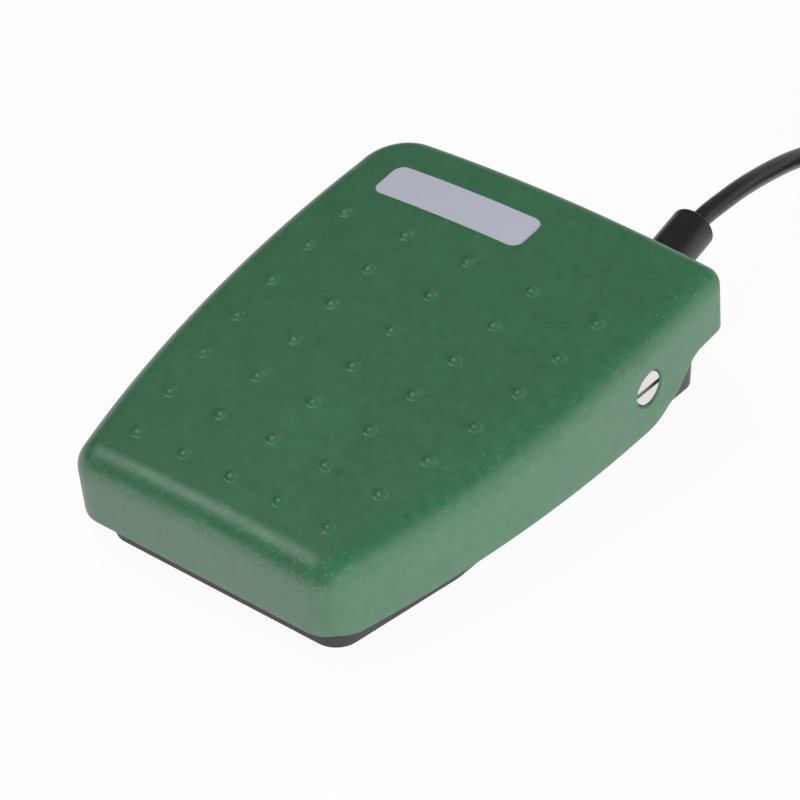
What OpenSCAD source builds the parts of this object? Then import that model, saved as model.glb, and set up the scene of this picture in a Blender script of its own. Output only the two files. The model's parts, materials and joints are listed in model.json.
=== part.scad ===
// Industrial foot switch: a cast hood pedal hinged over a low tray, with two return springs,
// a lever-operated snap switch and a cable that leaves the rear wall through a rubber sleeve.
// Origin: centre of the rest face, on the floor. +Y points to the cable end, +Z up. Millimetres.

/* [Base tray] */
// Length of the base, front to rear
base_l = 162; // [156:0.5:168]
// Width of the base behind its shoulders
base_w = 95; // [90:0.5:98]
// Width of the base across its front end
nose_w = 84.4; // [80:0.2:85]
// Distance from the front end to the shoulders
nose_l = 46; // [35:1:60]
// Radius of the base's upright corners
base_corner = 7.5; // [5:0.5:12]
// Radius of the shoulders, seen from above
shoulder_r = 18; // [9:1:30]
// Thickness of the side walls
base_wall = 3; // [2.5:0.1:4]
// Thickness of the tray's floor
base_floor = 3.5; // [3:0.1:5]
// Height of the rim at the front, above the ground
rim_front_h = 20.5; // [16:0.5:22]
// Height of the rim at the rear, above the ground
rim_rear_h = 27.3; // [25.5:0.1:28]

/* [Rubber mat] */
// Thickness of the mat under the base
mat_t = 2; // [1.6:0.1:3]
// How far the mat stands below the base
mat_proud = 1; // [0.6:0.1:1.5]
// Distance from the base's edge to the mat's edge
mat_inset = 3; // [2:0.5:8]

/* [Pedal] */
// Slope of the pedal's top at rest, in degrees
pedal_tilt = 7; // [6:0.25:8]
// Full travel of the pedal, in degrees
pedal_travel = 3.5; // [2.5:0.25:3.5]
// Height of the pivot above the ground
pivot_h = 30; // [29.5:0.1:31]
// Distance of the pivot in front of the base's rear end
pivot_in = 46.6; // [45:0.2:49]
// Rise of the top face over the pivot
top_rise = 20; // [19:0.25:22]
// How far the pedal's front face stands ahead of the base, in its sloping line
toe_over = 8.2; // [6.6:0.2:11.6]
// Distance from the pivot to the rear face
heel_l = 38.4; // [36.5:0.1:40]
// Greatest width of the pedal
pedal_w = 120.4; // [118:0.2:124]
// Radius of each long side, seen from above
side_r = 440; // [430:5:800]
// Where the pedal is widest, measured behind the pivot
widest_y = -3.5; // [-8:0.5:4]
// Radius of the front corners, seen from above
front_corner = 9.5; // [9:0.5:14]
// Radius of the rear corner on the left, seen from above
rear_corner = 16.5; // [14:0.5:24]
// Radius of the rear corner on the right, seen from above
rear_corner_right = 5.5; // [5:0.5:12]
// How far the right side flares out towards its rear corner
rear_flare = 2.2; // [0:0.2:3]
// How much further the left side stands out than the right
left_over = 2.2; // [0:0.2:3]
// Radius of the top edge along the front and the sides
edge_round = 8; // [6:0.25:8.75]
// Radius of the top edge along the rear
rear_round = 5; // [4:0.25:8]
// Radius of the crown across the top face
crown_r = 568; // [450:5:1200]
// Thickness of the pedal's skirt
skirt_t = 3.2; // [2.5:0.1:3.6]
// Thickness of the pedal's top
top_t = 3.5; // [3:0.1:4.5]
// Depth of the skirt at the front, from the top face
front_skirt = 25; // [22:0.5:25.5]
// Depth of the skirt at the rear, from the top face
rear_skirt = 23.8; // [22:0.1:25.5]
// Depth of the side skirt just behind the front corner
side_skirt = 27.6; // [26:0.1:28.5]
// Radius of the skirt's lobe round the pivot
lobe_r = 16; // [13:0.5:17]
// Where the skirt's rear flat starts, behind the pivot
scallop_y = 24.5; // [22:0.5:30]

/* [Studs and label] */
// Number of studs in a row
stud_cols = 5; // [3:2:5]
// Distance between the rows
row_pitch = 17.5; // [12:0.5:17.5]
// Distance between the studs of the middle row
col_pitch = 21; // [15:0.5:21]
// How much the spacing grows from one row to the next
col_fan = 0.97; // [0:0.01:1.1]
// How much that growth eases off, row by row
col_fan_ease = 0.15; // [0:0.01:0.2]
// Distance of the front row behind the front face
stud_front_in = 16.5; // [13.5:0.5:20]
// Width of a stud at the surface
stud_d = 3.4; // [2.5:0.1:5]
// Height of a stud
stud_h = 1; // [0.6:0.1:1.4]
// Width of the label, across the pedal
label_w = 53.2; // [30:0.5:56]
// Length of the label, along the pedal
label_l = 14; // [8:0.5:15]
// Radius of the label's corners
label_corner = 3.5; // [1:0.25:4]
// Distance of the label's middle from the pedal's centre line
label_x = -18.9; // [-22:0.5:22]
// Distance of the label's middle behind the pivot
label_y = 17.1; // [15:0.25:19]
// Depth of the recess that holds the label
label_recess = 0.6; // [0.4:0.1:1]
// Thickness of the label
label_t = 0.4; // [0.2:0.05:0.5]

/* [Pivot] */
// Diameter of the pivot screw's head, which the pedal turns on
pivot_head_d = 11.2; // [9:0.1:12]
// Diameter of the pivot screw's thread
pivot_thread_d = 6; // [5:0.5:8]
// Wall of the pedal's pivot boss round the screw
pivot_boss_wall = 3; // [2:0.25:3.5]
// Diameter of the base's bosses for the pivot screws
base_boss_d = 15; // [12:0.5:18]
// Radius of the ears that carry the pivot
ear_r = 9.5; // [8:0.5:11]
// Distance of the screw head's face below the pedal's side
head_sink = 0.3; // [0:0.1:1]
// Width of the screwdriver slots in the pivot screws
slot_w = 1.6; // [1:0.1:2.5]
// Thickness of the pivot nuts
pivot_nut_t = 5; // [4:0.5:6]
// Width across the flats of the pivot nuts
pivot_nut_af = 10; // [9:0.5:11]

/* [Return springs] */
// Distance of each spring from the centre line
spring_x = 20; // [18:0.5:26]
// Distance of the springs in front of the base's centre
spring_y = 45; // [40:1:48]
// Outside diameter of a spring
spring_d = 13; // [11:0.5:14]
// Diameter of the spring wire
spring_wire = 1.6; // [1.2:0.1:2]
// Turns in a spring
spring_turns = 7; // [5:1:8]
// Height of the spring seats above the tray's floor
seat_h = 1.5; // [1:0.5:3]
// Length of a spring at rest
spring_l = 27.5; // [25:0.5:28.5]

/* [Stops and actuator] */
// Distance of the down stop behind the base's front end
stop_in = 15; // [13:1:19]
// Diameter of the rubber bumper
bumper_d = 14; // [10:0.5:16]
// Height of the bumper above the tray's floor
bumper_h = 8.9; // [6:0.1:10]
// Distance of each rear rest pad from the centre line
rest_x = 38; // [36:0.5:40]
// Thickness of the rear rest pads
rest_t = 2; // [1:0.25:3]
// Distance of the actuator in front of the base's centre
act_y = 17; // [15:0.5:19]
// Diameter of the actuator screw's thread
act_d = 5; // [4:0.5:6]
// Width across the flats of the actuator's head and nut
act_af = 8; // [7:0.5:10]
// Thickness of the actuator's nut
act_nut_t = 3.2; // [2.5:0.1:4]
// Thickness of the actuator's head
act_head_t = 3; // [2.5:0.1:4]

/* [Snap switch] */
// Length of the switch
sw_l = 27.8; // [26:0.1:29]
// Height of the switch's case
sw_h = 15.9; // [14.5:0.1:16.5]
// Thickness of the switch's case, without its cover
sw_case_t = 7.4; // [6.5:0.1:8]
// Thickness of the switch's cover
sw_cover_t = 2.9; // [2:0.1:4]
// Distance of the switch's middle in front of the base's centre
sw_y = 8; // [7:0.5:9]
// Gap between the switch and the tray's floor
sw_lift = 1.5; // [1:0.25:2]
// Thickness of the bracket's sheet
bracket_t = 1.5; // [1:0.1:2]
// Length of the lever's pin in front of its bend, from pin to actuator
lever_arm = 24; // [22:0.5:25]
// Slope of the lever at rest, in degrees
lever_tilt = 9; // [8:0.5:11]
// Thickness of the lever
lever_t = 0.6; // [0.4:0.1:1]
// Width of the lever
lever_w = 4.4; // [3.5:0.1:4.6]
// Diameter of the lever's pin
lever_pin_d = 1.6; // [1.2:0.1:2]
// Diameter of the switch's button
button_d = 3.2; // [2.5:0.1:4]
// Distance from the lever's pin to the button
button_arm = 6; // [5:0.5:8]

/* [Cable entry] */
// Distance of the cable entry from the centre line
entry_x = 22.3; // [18:0.1:24]
// Height of the cable entry's axis at the rear wall
entry_h = 18; // [17:0.1:18.5]
// Upward slope of the cable entry, in degrees
entry_pitch = 12; // [8:0.5:12]
// Turn of the cable entry to the left, in degrees
entry_yaw = 3; // [0:0.5:6]
// Diameter of the rubber sleeve
sleeve_d = 14; // [12:0.5:14.5]
// Distance from the rear wall to the sleeve's end
sleeve_l = 34.8; // [25:0.1:40]
// Diameter of the sleeve's neck in the wall
neck_d = 10; // [9:0.5:11]
// Diameter of the cable
cable_d = 6.1; // [5:0.1:7]
// Diameter of the insulated cores
core_d = 2.2; // [1.8:0.1:2.4]
// Width of the cable clamp
clamp_w = 20; // [18:0.5:20]
// Length of the cable clamp along the cable
clamp_l = 8; // [6:0.5:9]

/* [Cable coil] */
// Radius of the coil, to the middle of its turns
coil_r = 34; // [32:0.5:38]
// Distance between neighbouring turns
coil_pitch = 6.3; // [6.3:0.1:7]
// Turns in each ring of the coil
coil_rings = 3; // [2:1:4]
// Gap under the coil, where its tie passes
coil_lift = 0.8; // [0.5:0.1:1.5]

/* [Hidden] */
$fn = 64;

// Clearances
run_gap = 0.05;     // a shaft in its bore, on the radius
part_gap = 0.4;     // between pieces that move past each other
hole_gap = 0.1;     // a screw in a clearance hole, on the radius
over = 1;           // how far a cutter passes beyond what it cuts

// Heights and edges of the base
base_y0 = -base_l / 2;
base_y1 = base_l / 2;
floor_z = mat_proud + base_floor;
pivot_y = base_y1 - pivot_in;
stop_y = -base_y0 - stop_in;
toe_l = pivot_y - base_y0 + toe_over;         // from the pivot to the pedal's front face
rim_slope = atan((rim_rear_h - rim_front_h) / base_l);
tall = pivot_h + top_rise + toe_l;

// The underside of the pedal's top over a point of the tray, on the centre line
function under_z(y) =
    pivot_h + (top_rise - top_t) / cos(pedal_tilt) + (y - pivot_y) * tan(pedal_tilt);
function rim_z(y) = rim_front_h + (y - base_y0) * tan(rim_slope);
function mirror_x(p) = [-p.x, p.y, 180 - p.z];
function unit(v) = v / norm(v);
function clamp01(t) = max(0, min(1, t));

// ---- Loft of the pedal: points round the outline as [x, y, direction of the outward normal] ----
side_cx = pedal_w / 2 - side_r;
corner_seg = 4;
side_seg = 12;
cross_seg = 12;
edge_seg = 4;
rows = 2 * corner_seg + side_seg;
around = 2 * (cross_seg + rows);

function corner_c(y, r) = [side_cx + sqrt(pow(side_r - r, 2) - pow(y - widest_y, 2)), y];
function side_a(y, r) = asin((y - widest_y) / (side_r - r));
function arc3(c, r, a0, a1, n) =
    [for (i = [0:n]) let (a = a0 + (a1 - a0) * i / n) [c.x + r * cos(a), c.y + r * sin(a), a]];
function tail(list) = [for (i = [1:len(list) - 1]) list[i]];

front_cy = -toe_l + front_corner;
front_c = corner_c(front_cy, front_corner);
front_a = side_a(front_cy, front_corner);
// A long side from the front to the rear, with its own rear corner
function side_line(r) =
    let (c = corner_c(heel_l - r, r), a = side_a(heel_l - r, r))
    concat(
        arc3(front_c, front_corner, -90, front_a, corner_seg),
        tail(arc3([side_cx, widest_y], side_r, front_a, a, side_seg)),
        tail(arc3(c, r, a, 90, corner_seg))
    );
flare_y = -10;                                // where the right side starts to swing out
function flared(p) =
    let (
        g = clamp01((p.y - flare_y) / (heel_l - flare_y)),
        lean = atan(2 * rear_flare * g / (heel_l - flare_y))
    )
    [p.x + rear_flare * g * g, p.y, p.z - lean * (1 - clamp01(p.z / 90))];
right_side = [for (p = side_line(rear_corner_right)) flared(p)];
left_side = [for (p = side_line(rear_corner)) mirror_x(p) - [left_over, 0, 0]];
function across(a, b, t) = a + (b - a) * t;

// One point of the outline, counted anticlockwise from the front left corner
function outline(n) =
    n <= cross_seg ? [across(left_side[0].x, right_side[0].x, n / cross_seg), -toe_l, -90]
    : n <= cross_seg + rows ? right_side[n - cross_seg]
    : n <= 2 * cross_seg + rows
    ? [across(right_side[rows].x, left_side[rows].x, (n - cross_seg - rows) / cross_seg), heel_l, 90]
    : left_side[rows - (n - 2 * cross_seg - rows)];

function edge_r(y) = rear_round + (edge_round - rear_round) * clamp01((heel_l - y) / rear_corner);
function top_z(x) = top_rise - x * x / (2 * crown_r);

// A point of the hood at a turn of its rounded edge: 0 is the top of the wall, 90 the edge of the top
function rounded(n, turn, inset, drop) =
    let (
        p = outline(n),
        r = max(edge_r(p.y) - inset, 1),
        o = inset + r * (1 - cos(turn)),
        x = p.x - o * cos(p.z),
        y = p.y - o * sin(p.z)
    )
    [x, y, top_z(x) - drop - r * (1 - sin(turn))];

function edge_index(i, j) =
    j == 0 ? i
    : i == cross_seg ? cross_seg + j
    : j == rows ? cross_seg + rows + (cross_seg - i)
    : i == 0 ? 2 * cross_seg + rows + (rows - j)
    : -1;

// The solid inside a hood whose walls stand inset from the outline and whose top lies drop lower
module hood_solid(inset, drop, bottom, steps) {
    rings = [for (k = [0:steps]) [for (n = [0:around - 1]) rounded(n, 90 * k / steps, inset, drop)]];
    foot = [for (p = rings[0]) [p.x, p.y, bottom]];
    lid_ring = rings[steps];
    inner = [
        for (j = [1:rows - 1]) for (i = [1:cross_seg - 1])
            let (
                left = lid_ring[edge_index(0, j)],
                right = lid_ring[edge_index(cross_seg, j)],
                q = across(left, right, i / cross_seg)
            )
            [q.x, q.y, top_z(q.x) - drop]
    ];
    first_ring = around * (steps + 1);
    function at(i, j) =
        let (e = edge_index(i, j))
        e >= 0 ? first_ring + (e % around) : first_ring + around + (j - 1) * (cross_seg - 1) + i - 1;
    walls = [
        for (k = [0:steps]) for (n = [0:around - 1])
            let (a = k * around + n, b = k * around + (n + 1) % around)
            each [[a + around, b + around, b], [a + around, b, a]]
    ];
    middle = first_ring + around + len(inner);
    foot_faces = [for (n = [0:around - 1]) [middle, n, (n + 1) % around]];
    lid = [
        for (j = [0:rows - 1]) for (i = [0:cross_seg - 1])
            each [[at(i, j), at(i, j + 1), at(i + 1, j + 1)], [at(i, j), at(i + 1, j + 1), at(i + 1, j)]]
    ];
    polyhedron(
        points = concat(foot, [for (r = rings) each r], inner, [[0, 0, bottom]]),
        faces = concat(foot_faces, walls, lid)
    );
}

// Lower edge of the skirt, seen from the side, as the outline of what lies below it
side_z = top_rise - side_skirt;
front_z = top_rise - front_skirt;
rear_z = top_rise - rear_skirt;
blend_y = -toe_l + front_corner;
lobe_a0 = -96;
lobe_a1 = -62;
scallop_r = 5;
skirt_edge = concat(
    [[-toe_l - over, front_z], [-toe_l + skirt_t, front_z], [blend_y, side_z]],
    [for (a = [lobe_a0:4:lobe_a1]) lobe_r * [cos(a), sin(a)]],
    [for (t = [0:0.125:1]) let (s = (1 - cos(180 * t)) / 2)
        [lobe_r * cos(lobe_a1) + (scallop_y - lobe_r * cos(lobe_a1)) * (0.12 + 0.88 * t),
         lobe_r * sin(lobe_a1) + (rear_z - lobe_r * sin(lobe_a1)) * (0.1 * (1 - s) + s)]],
    [[heel_l + over, rear_z]]
);

module below_skirt() {
    deep = 2 * toe_l;
    rotate([90, 0, 90])
        linear_extrude(pedal_w + 2 * (rear_flare + left_over + over), center = true)
            polygon(concat(skirt_edge, [[heel_l + over, -deep], [-toe_l - over, -deep]]));
}

// ---- Places shared by several pieces ----
boss_face_x = pedal_w / 2 - 6.6;              // outer face of the base's pivot bosses
pedal_boss_x = boss_face_x + part_gap;        // inner face of the pedal's pivot bosses
pivot_bore_d = pivot_head_d + 2 * run_gap;
pivot_boss_d = pivot_bore_d + 2 * pivot_boss_wall;
ear_x = base_w / 2 - base_wall;               // inner face of the ears

module at_pivot() { translate([0, pivot_y, pivot_h]) children(); }
module in_pedal() { at_pivot() rotate([pedal_tilt, 0, 0]) children(); }
module both_sides() { children(); mirror([1, 0, 0]) children(); }
module along_x(x) { translate([x, 0, 0]) rotate([0, 90, 0]) children(); }

// A vertical boss cast under the pedal's top, down to a level face
module pedal_boss(x, y, face_z, r) {
    top = under_z(y) - x * x / (2 * crown_r) + top_t * 0.4;
    translate([x, y, face_z]) cylinder(r = r, h = top - face_z);
}

module hex(af, h) { cylinder(r = af / sqrt(3), h = h, $fn = 6); }

module rounded_plate(w, l, r, h) {
    linear_extrude(h) {
        square([w - 2 * r, l], center = true);
        square([w, l - 2 * r], center = true);
        for (sx = [-1, 1]) for (sy = [-1, 1])
            translate([sx * (w / 2 - r), sy * (l / 2 - r)]) circle(r);
    }
}

// ---- Base ----
module base_outline(inset) {
    hull() both_sides() {
        translate([nose_w / 2 - base_corner, base_y0 + base_corner])
            circle(base_corner - inset, $fn = 40);
        translate([base_w / 2 - shoulder_r, base_y0 + nose_l]) circle(shoulder_r - inset, $fn = 64);
        translate([base_w / 2 - base_corner, base_y1 - base_corner])
            circle(base_corner - inset, $fn = 40);
    }
}

module above_rim() {
    translate([0, base_y0, rim_front_h]) rotate([rim_slope, 0, 0])
        translate([-base_w, -base_l / 2, 0]) cube([2 * base_w, 2 * base_l, tall]);
}

spring_z = floor_z + seat_h;
spring_r = (spring_d - spring_wire) / 2;
spigot_d = spring_d - 2 * spring_wire - 2 * part_gap;
spigot_h = 4;
spring_top_z = spring_z + spring_l;
bumper_top_z = floor_z + bumper_h;
stop_drop = (stop_y + pivot_y) * sin(pedal_travel);
stop_post_d = 10;
stop_face_z = bumper_top_z + stop_drop + stop_post_d / 2 * sin(pedal_travel) + part_gap;
rest_wall_y = heel_l - skirt_t / 2;           // middle of the rear skirt, in the pedal's frame
rest_pad_y = pivot_y + rest_wall_y * cos(pedal_tilt) - rear_z * sin(pedal_tilt);
rest_top_z = pivot_h + (heel_l - skirt_t) * sin(pedal_tilt) + rear_z * cos(pedal_tilt) - part_gap;
rest_post_d = 10;
rest_pad_d = 9;
deck_t = 2.5;
deck_y = rest_pad_y - rest_post_d / 2;        // the shelf that closes the tray behind the pedal
deck_z = rest_top_z - rest_t - 1.5;

bracket_boss_h = 2;
bracket_x1 = -sw_case_t / 2;                  // face of the bracket that carries the switch
bracket_foot_l = 24;
bracket_foot_w = 20;
bracket_hole_x = bracket_x1 - 11.5;
bracket_hole_y = [-sw_y - 6.5, -sw_y + 6.5];
bracket_z = floor_z + bracket_boss_h;
m4 = 4;
m3 = 3;
earth_x = 6;
earth_y = 40;
earth_boss_h = 4.5;

// The cable entry's own frame: its origin on the rear wall, +Y out along the sleeve
function from_entry(q) =
    let (
        y = q.y * cos(entry_pitch) - q.z * sin(entry_pitch),
        z = q.y * sin(entry_pitch) + q.z * cos(entry_pitch)
    )
    [
        entry_x + q.x * cos(entry_yaw) - y * sin(entry_yaw),
        base_y1 + q.x * sin(entry_yaw) + y * cos(entry_yaw),
        entry_h + z
    ];
module in_entry() {
    translate([entry_x, base_y1, entry_h]) rotate([entry_pitch, 0, entry_yaw]) children();
}
module along_y(s0, s1, r) {
    translate([0, s0, 0]) rotate([-90, 0, 0]) cylinder(r = r, h = s1 - s0);
}
boss_r = neck_d / 2 + 4.5;
boss_out = boss_r * tan(entry_pitch) + 0.2;   // the boss's face clears the wall all round
boss_in = base_wall / cos(entry_pitch) + boss_out;
flange_t = 3;                                 // the sleeve's flange inside the wall
clamp_s = -20;                                // middle of the clamp along the cable
tail_s = -30;                                 // inner end of the cable's sheath
clamp_hole_x = clamp_w / 2 - 3;
clamp_split = 0.5;
saddle_h = 3;

module clamp_block() {
    intersection() {
        in_entry() translate([-clamp_w / 2, clamp_s - clamp_l / 2, -entry_h])
            cube([clamp_w, clamp_l, entry_h - clamp_split]);
        translate([-base_w / 2, base_y0, floor_z - base_floor / 2]) cube([base_w, base_l, tall]);
    }
}

module ear() {
    translate([ear_x, 0, 0]) rotate([90, 0, 90]) linear_extrude(base_wall) {
        translate([pivot_y, pivot_h]) circle(ear_r);
        translate([pivot_y - ear_r, floor_z]) square([2 * ear_r, pivot_h - floor_z]);
    }
    at_pivot() along_x(ear_x) cylinder(d = base_boss_d, h = boss_face_x - ear_x);
}

module base_tray() {
    color([0.36, 0.33, 0.35]) difference() {
        union() {
            difference() {
                translate([0, 0, mat_proud]) linear_extrude(rim_rear_h) base_outline(0);
                translate([0, 0, floor_z]) linear_extrude(tall) base_outline(base_wall);
                above_rim();
            }
            both_sides() {
                ear();
                translate([spring_x, -spring_y, floor_z - over]) {
                    cylinder(d = spring_d + 3, h = seat_h + over);
                    cylinder(d = spigot_d, h = seat_h + spigot_h + over);
                }
                translate([rest_x, rest_pad_y, floor_z - over])
                    cylinder(d = rest_post_d, h = rest_top_z - rest_t - floor_z + over);
            }
            intersection() {
                translate([0, 0, deck_z - deck_t]) linear_extrude(deck_t) base_outline(base_wall / 2);
                translate([-base_w, deck_y, 0]) cube([2 * base_w, base_l, tall]);
            }
            for (y = bracket_hole_y)
                translate([bracket_hole_x, y, floor_z - over]) cylinder(d = 9, h = bracket_boss_h + over);
            translate([earth_x, earth_y, floor_z - over]) cylinder(d = 9, h = earth_boss_h + over);
            in_entry() along_y(-boss_in, boss_out, boss_r);
            clamp_block();
        }
        translate([0, 0, mat_proud - over]) linear_extrude(mat_t - mat_proud + over) base_outline(mat_inset);
        both_sides() at_pivot() along_x(ear_x - over)
            cylinder(d = pivot_thread_d, h = boss_face_x - ear_x + 2 * over);
        translate([0, -stop_y, floor_z - base_floor / 2]) cylinder(d = bumper_d / 2, h = base_floor);
        for (y = bracket_hole_y)
            translate([bracket_hole_x, y, floor_z - 1.5]) cylinder(d = m4, h = bracket_boss_h + 1.5 + over);
        translate([earth_x, earth_y, floor_z - 1]) cylinder(d = m4, h = earth_boss_h + 1 + over);
        in_entry() {
            along_y(-boss_in - over, boss_out + over, neck_d / 2);
            along_y(-boss_in - flange_t - part_gap, -boss_in, sleeve_d / 2 + part_gap);
            along_y(clamp_s - clamp_l, clamp_s + clamp_l, cable_d / 2);
            for (sx = [-1, 1]) translate([sx * clamp_hole_x, clamp_s, -8]) cylinder(d = m3, h = 8);
        }
    }
}

module rubber_mat() {
    color([0.12, 0.12, 0.12]) linear_extrude(mat_t) base_outline(mat_inset);
}

module stop_bumper() {
    color([0.1, 0.1, 0.1]) translate([0, -stop_y, 0]) {
        translate([0, 0, floor_z - base_floor / 2]) cylinder(d = bumper_d / 2, h = base_floor / 2);
        translate([0, 0, floor_z]) cylinder(d = bumper_d, h = bumper_h - 1);
        translate([0, 0, bumper_top_z - 1]) cylinder(d1 = bumper_d, d2 = bumper_d - 2, h = 1);
    }
}

module rest_pads() {
    color([0.1, 0.1, 0.1]) both_sides()
        translate([rest_x, rest_pad_y, rest_top_z - rest_t]) cylinder(d = rest_pad_d, h = rest_t);
}

// ---- Pedal ----
rib_t = 2.5;
rib_h = 5;
rib_x = 30;
// Places of the cross ribs, from the pivot: one behind the springs, one behind the actuator
cross_ribs = [spring_d + 2.4 - spring_y - pivot_y, -30];

function stud_pitch(r) = col_pitch + col_fan * r - col_fan_ease * r * r;
stud_field_l = toe_l - stud_front_in + label_y - label_l / 2 - stud_d;   // room ahead of the label
stud_rows = floor(stud_field_l / row_pitch) + 1;
stud_mid_row = (stud_rows - 1) / 2;
stud_field_y = toe_l - stud_front_in - stud_mid_row * row_pitch;
stud_mid_col = (stud_cols - 1) / 2;
stud_ball_r = (pow(stud_h, 2) + pow(stud_d / 2, 2)) / (2 * stud_h);

module studs() {
    for (r = [-stud_mid_row:stud_mid_row]) for (c = [-stud_mid_col:stud_mid_col])
        let (x = c * stud_pitch(r))
        translate([x, r * row_pitch - stud_field_y, top_z(x) + stud_h - stud_ball_r])
            sphere(stud_ball_r, $fn = 24);
}

module ribs() {
    z0 = top_rise - top_t - rib_h;
    z1 = top_rise - top_t + 1;
    for (sx = [-1, 1]) translate([sx * rib_x - rib_t / 2, -toe_l + 16, z0])
        cube([rib_t, toe_l + heel_l - 26, z1 - z0]);
    for (y = cross_ribs) {
        w = right_half_w(y) - edge_round;
        translate([-w, y - rib_t / 2, z0]) cube([2 * w, rib_t, z1 - z0 - 0.4]);
    }
}
function right_half_w(y) = side_cx + sqrt(side_r * side_r - pow(y - widest_y, 2));

// Space between two surfaces that follow the crown, each a given depth below the top face
module crown_shell(depth0, depth1) {
    long = toe_l + heel_l;
    translate([0, 0, top_rise - crown_r]) rotate([90, 0, 0]) difference() {
        cylinder(r = crown_r - depth0, h = 2 * long, center = true, $fn = 360);
        cylinder(r = crown_r - depth1, h = 3 * long, center = true, $fn = 360);
    }
}

module label_shape(depth0, depth1, gap) {
    intersection() {
        translate([label_x, label_y, top_rise - 3 * top_t])
            rounded_plate(label_w + 2 * gap, label_l + 2 * gap, label_corner + gap, 4 * top_t);
        crown_shell(depth0, depth1);
    }
}

// Outer face of the skirt at the pivot, on the right (0) or the left (1)
function wall_x(side) = right_half_w(0) + side * left_over;
act_top_z = under_z(-act_y) + top_t * 0.3;    // end of the actuator screw, blind in the pedal's top

module pedal_cover() {
    color([0.16, 0.38, 0.26]) difference() {
        union() {
            in_pedal() {
                difference() {
                    hood_solid(0, 0, -1.4 * lobe_r, edge_seg);
                    hood_solid(skirt_t, top_t, -1.5 * lobe_r, 2);
                    below_skirt();
                }
                studs();
                ribs();
            }
            for (side = [0, 1]) mirror([side, 0, 0]) at_pivot() along_x(pedal_boss_x)
                cylinder(d = pivot_boss_d, h = wall_x(side) - skirt_t / 2 - pedal_boss_x);
            both_sides() {
                pedal_boss(spring_x, -spring_y, spring_top_z, spring_d / 2 + 1);
                pedal_boss(spring_x, -spring_y, spring_top_z - spigot_h, spigot_d / 2);
            }
            pedal_boss(0, -stop_y, stop_face_z, stop_post_d / 2);
            pedal_boss(0, -act_y, act_face_z, act_boss_r);
        }
        for (side = [0, 1]) mirror([side, 0, 0]) at_pivot() {
            along_x(pedal_boss_x - over)
                cylinder(d = pivot_bore_d, h = wall_x(side) - pedal_boss_x + 2 * over);
            along_x(wall_x(side) - 0.5) cylinder(d1 = pivot_bore_d, d2 = pivot_bore_d + 3, h = 1.5);
        }
        translate([0, -act_y, act_face_z - over]) cylinder(d = act_d, h = act_top_z - act_face_z + over);
        in_pedal() label_shape(-over, label_recess, run_gap);
    }
}

module label_plate() {
    color([0.74, 0.74, 0.8]) in_pedal() label_shape(label_recess - label_t, label_recess, 0);
}

module pivot_screw(side) {
    face_x = wall_x(side) - head_sink;
    at_pivot() difference() {
        union() {
            along_x(boss_face_x) cylinder(d = pivot_head_d, h = face_x - 0.5 - boss_face_x);
            along_x(face_x - 0.5) cylinder(d1 = pivot_head_d, d2 = pivot_head_d - 1, h = 0.5);
            along_x(ear_x - pivot_nut_t - 1)
                cylinder(d = pivot_thread_d, h = boss_face_x - ear_x + pivot_nut_t + 1.5);
        }
        translate([face_x - 1.8, -pivot_head_d, -slot_w / 2]) cube([1.8 + over, 2 * pivot_head_d, slot_w]);
    }
}
module pivot_screw_right() { color([0.85, 0.84, 0.82]) pivot_screw(0); }
module pivot_screw_left() { color([0.85, 0.84, 0.82]) mirror([1, 0, 0]) pivot_screw(1); }

module pivot_nuts() {
    color([0.7, 0.7, 0.7]) both_sides() at_pivot() along_x(ear_x - pivot_nut_t) difference() {
        hex(pivot_nut_af, pivot_nut_t);
        translate([0, 0, -over]) cylinder(d = pivot_thread_d, h = pivot_nut_t + 2 * over);
    }
}

// ---- Springs ----
spring_steps = 12;                            // rings of wire in a turn
spring_sides = 6;

module coil_spring() {
    last = spring_turns * spring_steps;
    rise = spring_l - spring_wire;
    // The first and last turns lie closed, and the turns between them carry the rise
    function lift(k) =
        let (t = k / spring_steps, dead = spring_wire / rise)
        t < 1 ? dead * t
        : t > spring_turns - 1 ? 1 - dead * (spring_turns - t)
        : dead + (1 - 2 * dead) * (t - 1) / (spring_turns - 2);
    points = [
        for (k = [0:last]) for (s = [0:spring_sides - 1])
            let (
                a = 360 * k / spring_steps, b = 360 * s / spring_sides + 30,
                r = spring_r + spring_wire / 2 * cos(b)
            )
            [r * cos(a), r * sin(a), spring_wire / 2 + rise * lift(k) + spring_wire / 2 * sin(b)]
    ];
    polyhedron(points, tube_faces(last + 1, spring_sides));
}

// Faces of a closed tube made of rings of points
function tube_faces(rings, sides) = concat(
    [[for (s = [0:sides - 1]) s]],
    [for (k = [0:rings - 2]) for (s = [0:sides - 1])
        let (a = k * sides + s, b = k * sides + (s + 1) % sides)
        each [[a, a + sides, b + sides], [a, b + sides, b]]],
    [[for (s = [sides - 1:-1:0]) (rings - 1) * sides + s]]
);

// A tube swept along points that never run straight up
module tube(points, r, sides) {
    last = len(points) - 1;
    rings = [
        for (i = [0:last])
            let (
                along = unit(points[min(i + 1, last)] - points[max(i - 1, 0)]),
                side = unit(cross(along, [0, 0, 1])),
                up = cross(side, along)
            )
            each [for (s = [0:sides - 1])
                let (a = -360 * (s + 0.5) / sides) points[i] + r * (cos(a) * side + sin(a) * up)]
    ];
    polyhedron(rings, tube_faces(last + 1, sides));
}

module return_spring() {
    translate([spring_x, -spring_y, spring_z]) coil_spring();
}
module return_spring_right() { color([0.6, 0.6, 0.58]) return_spring(); }
module return_spring_left() {
    color([0.6, 0.6, 0.58]) translate([-2 * spring_x, 0, 0]) return_spring();
}

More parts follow.
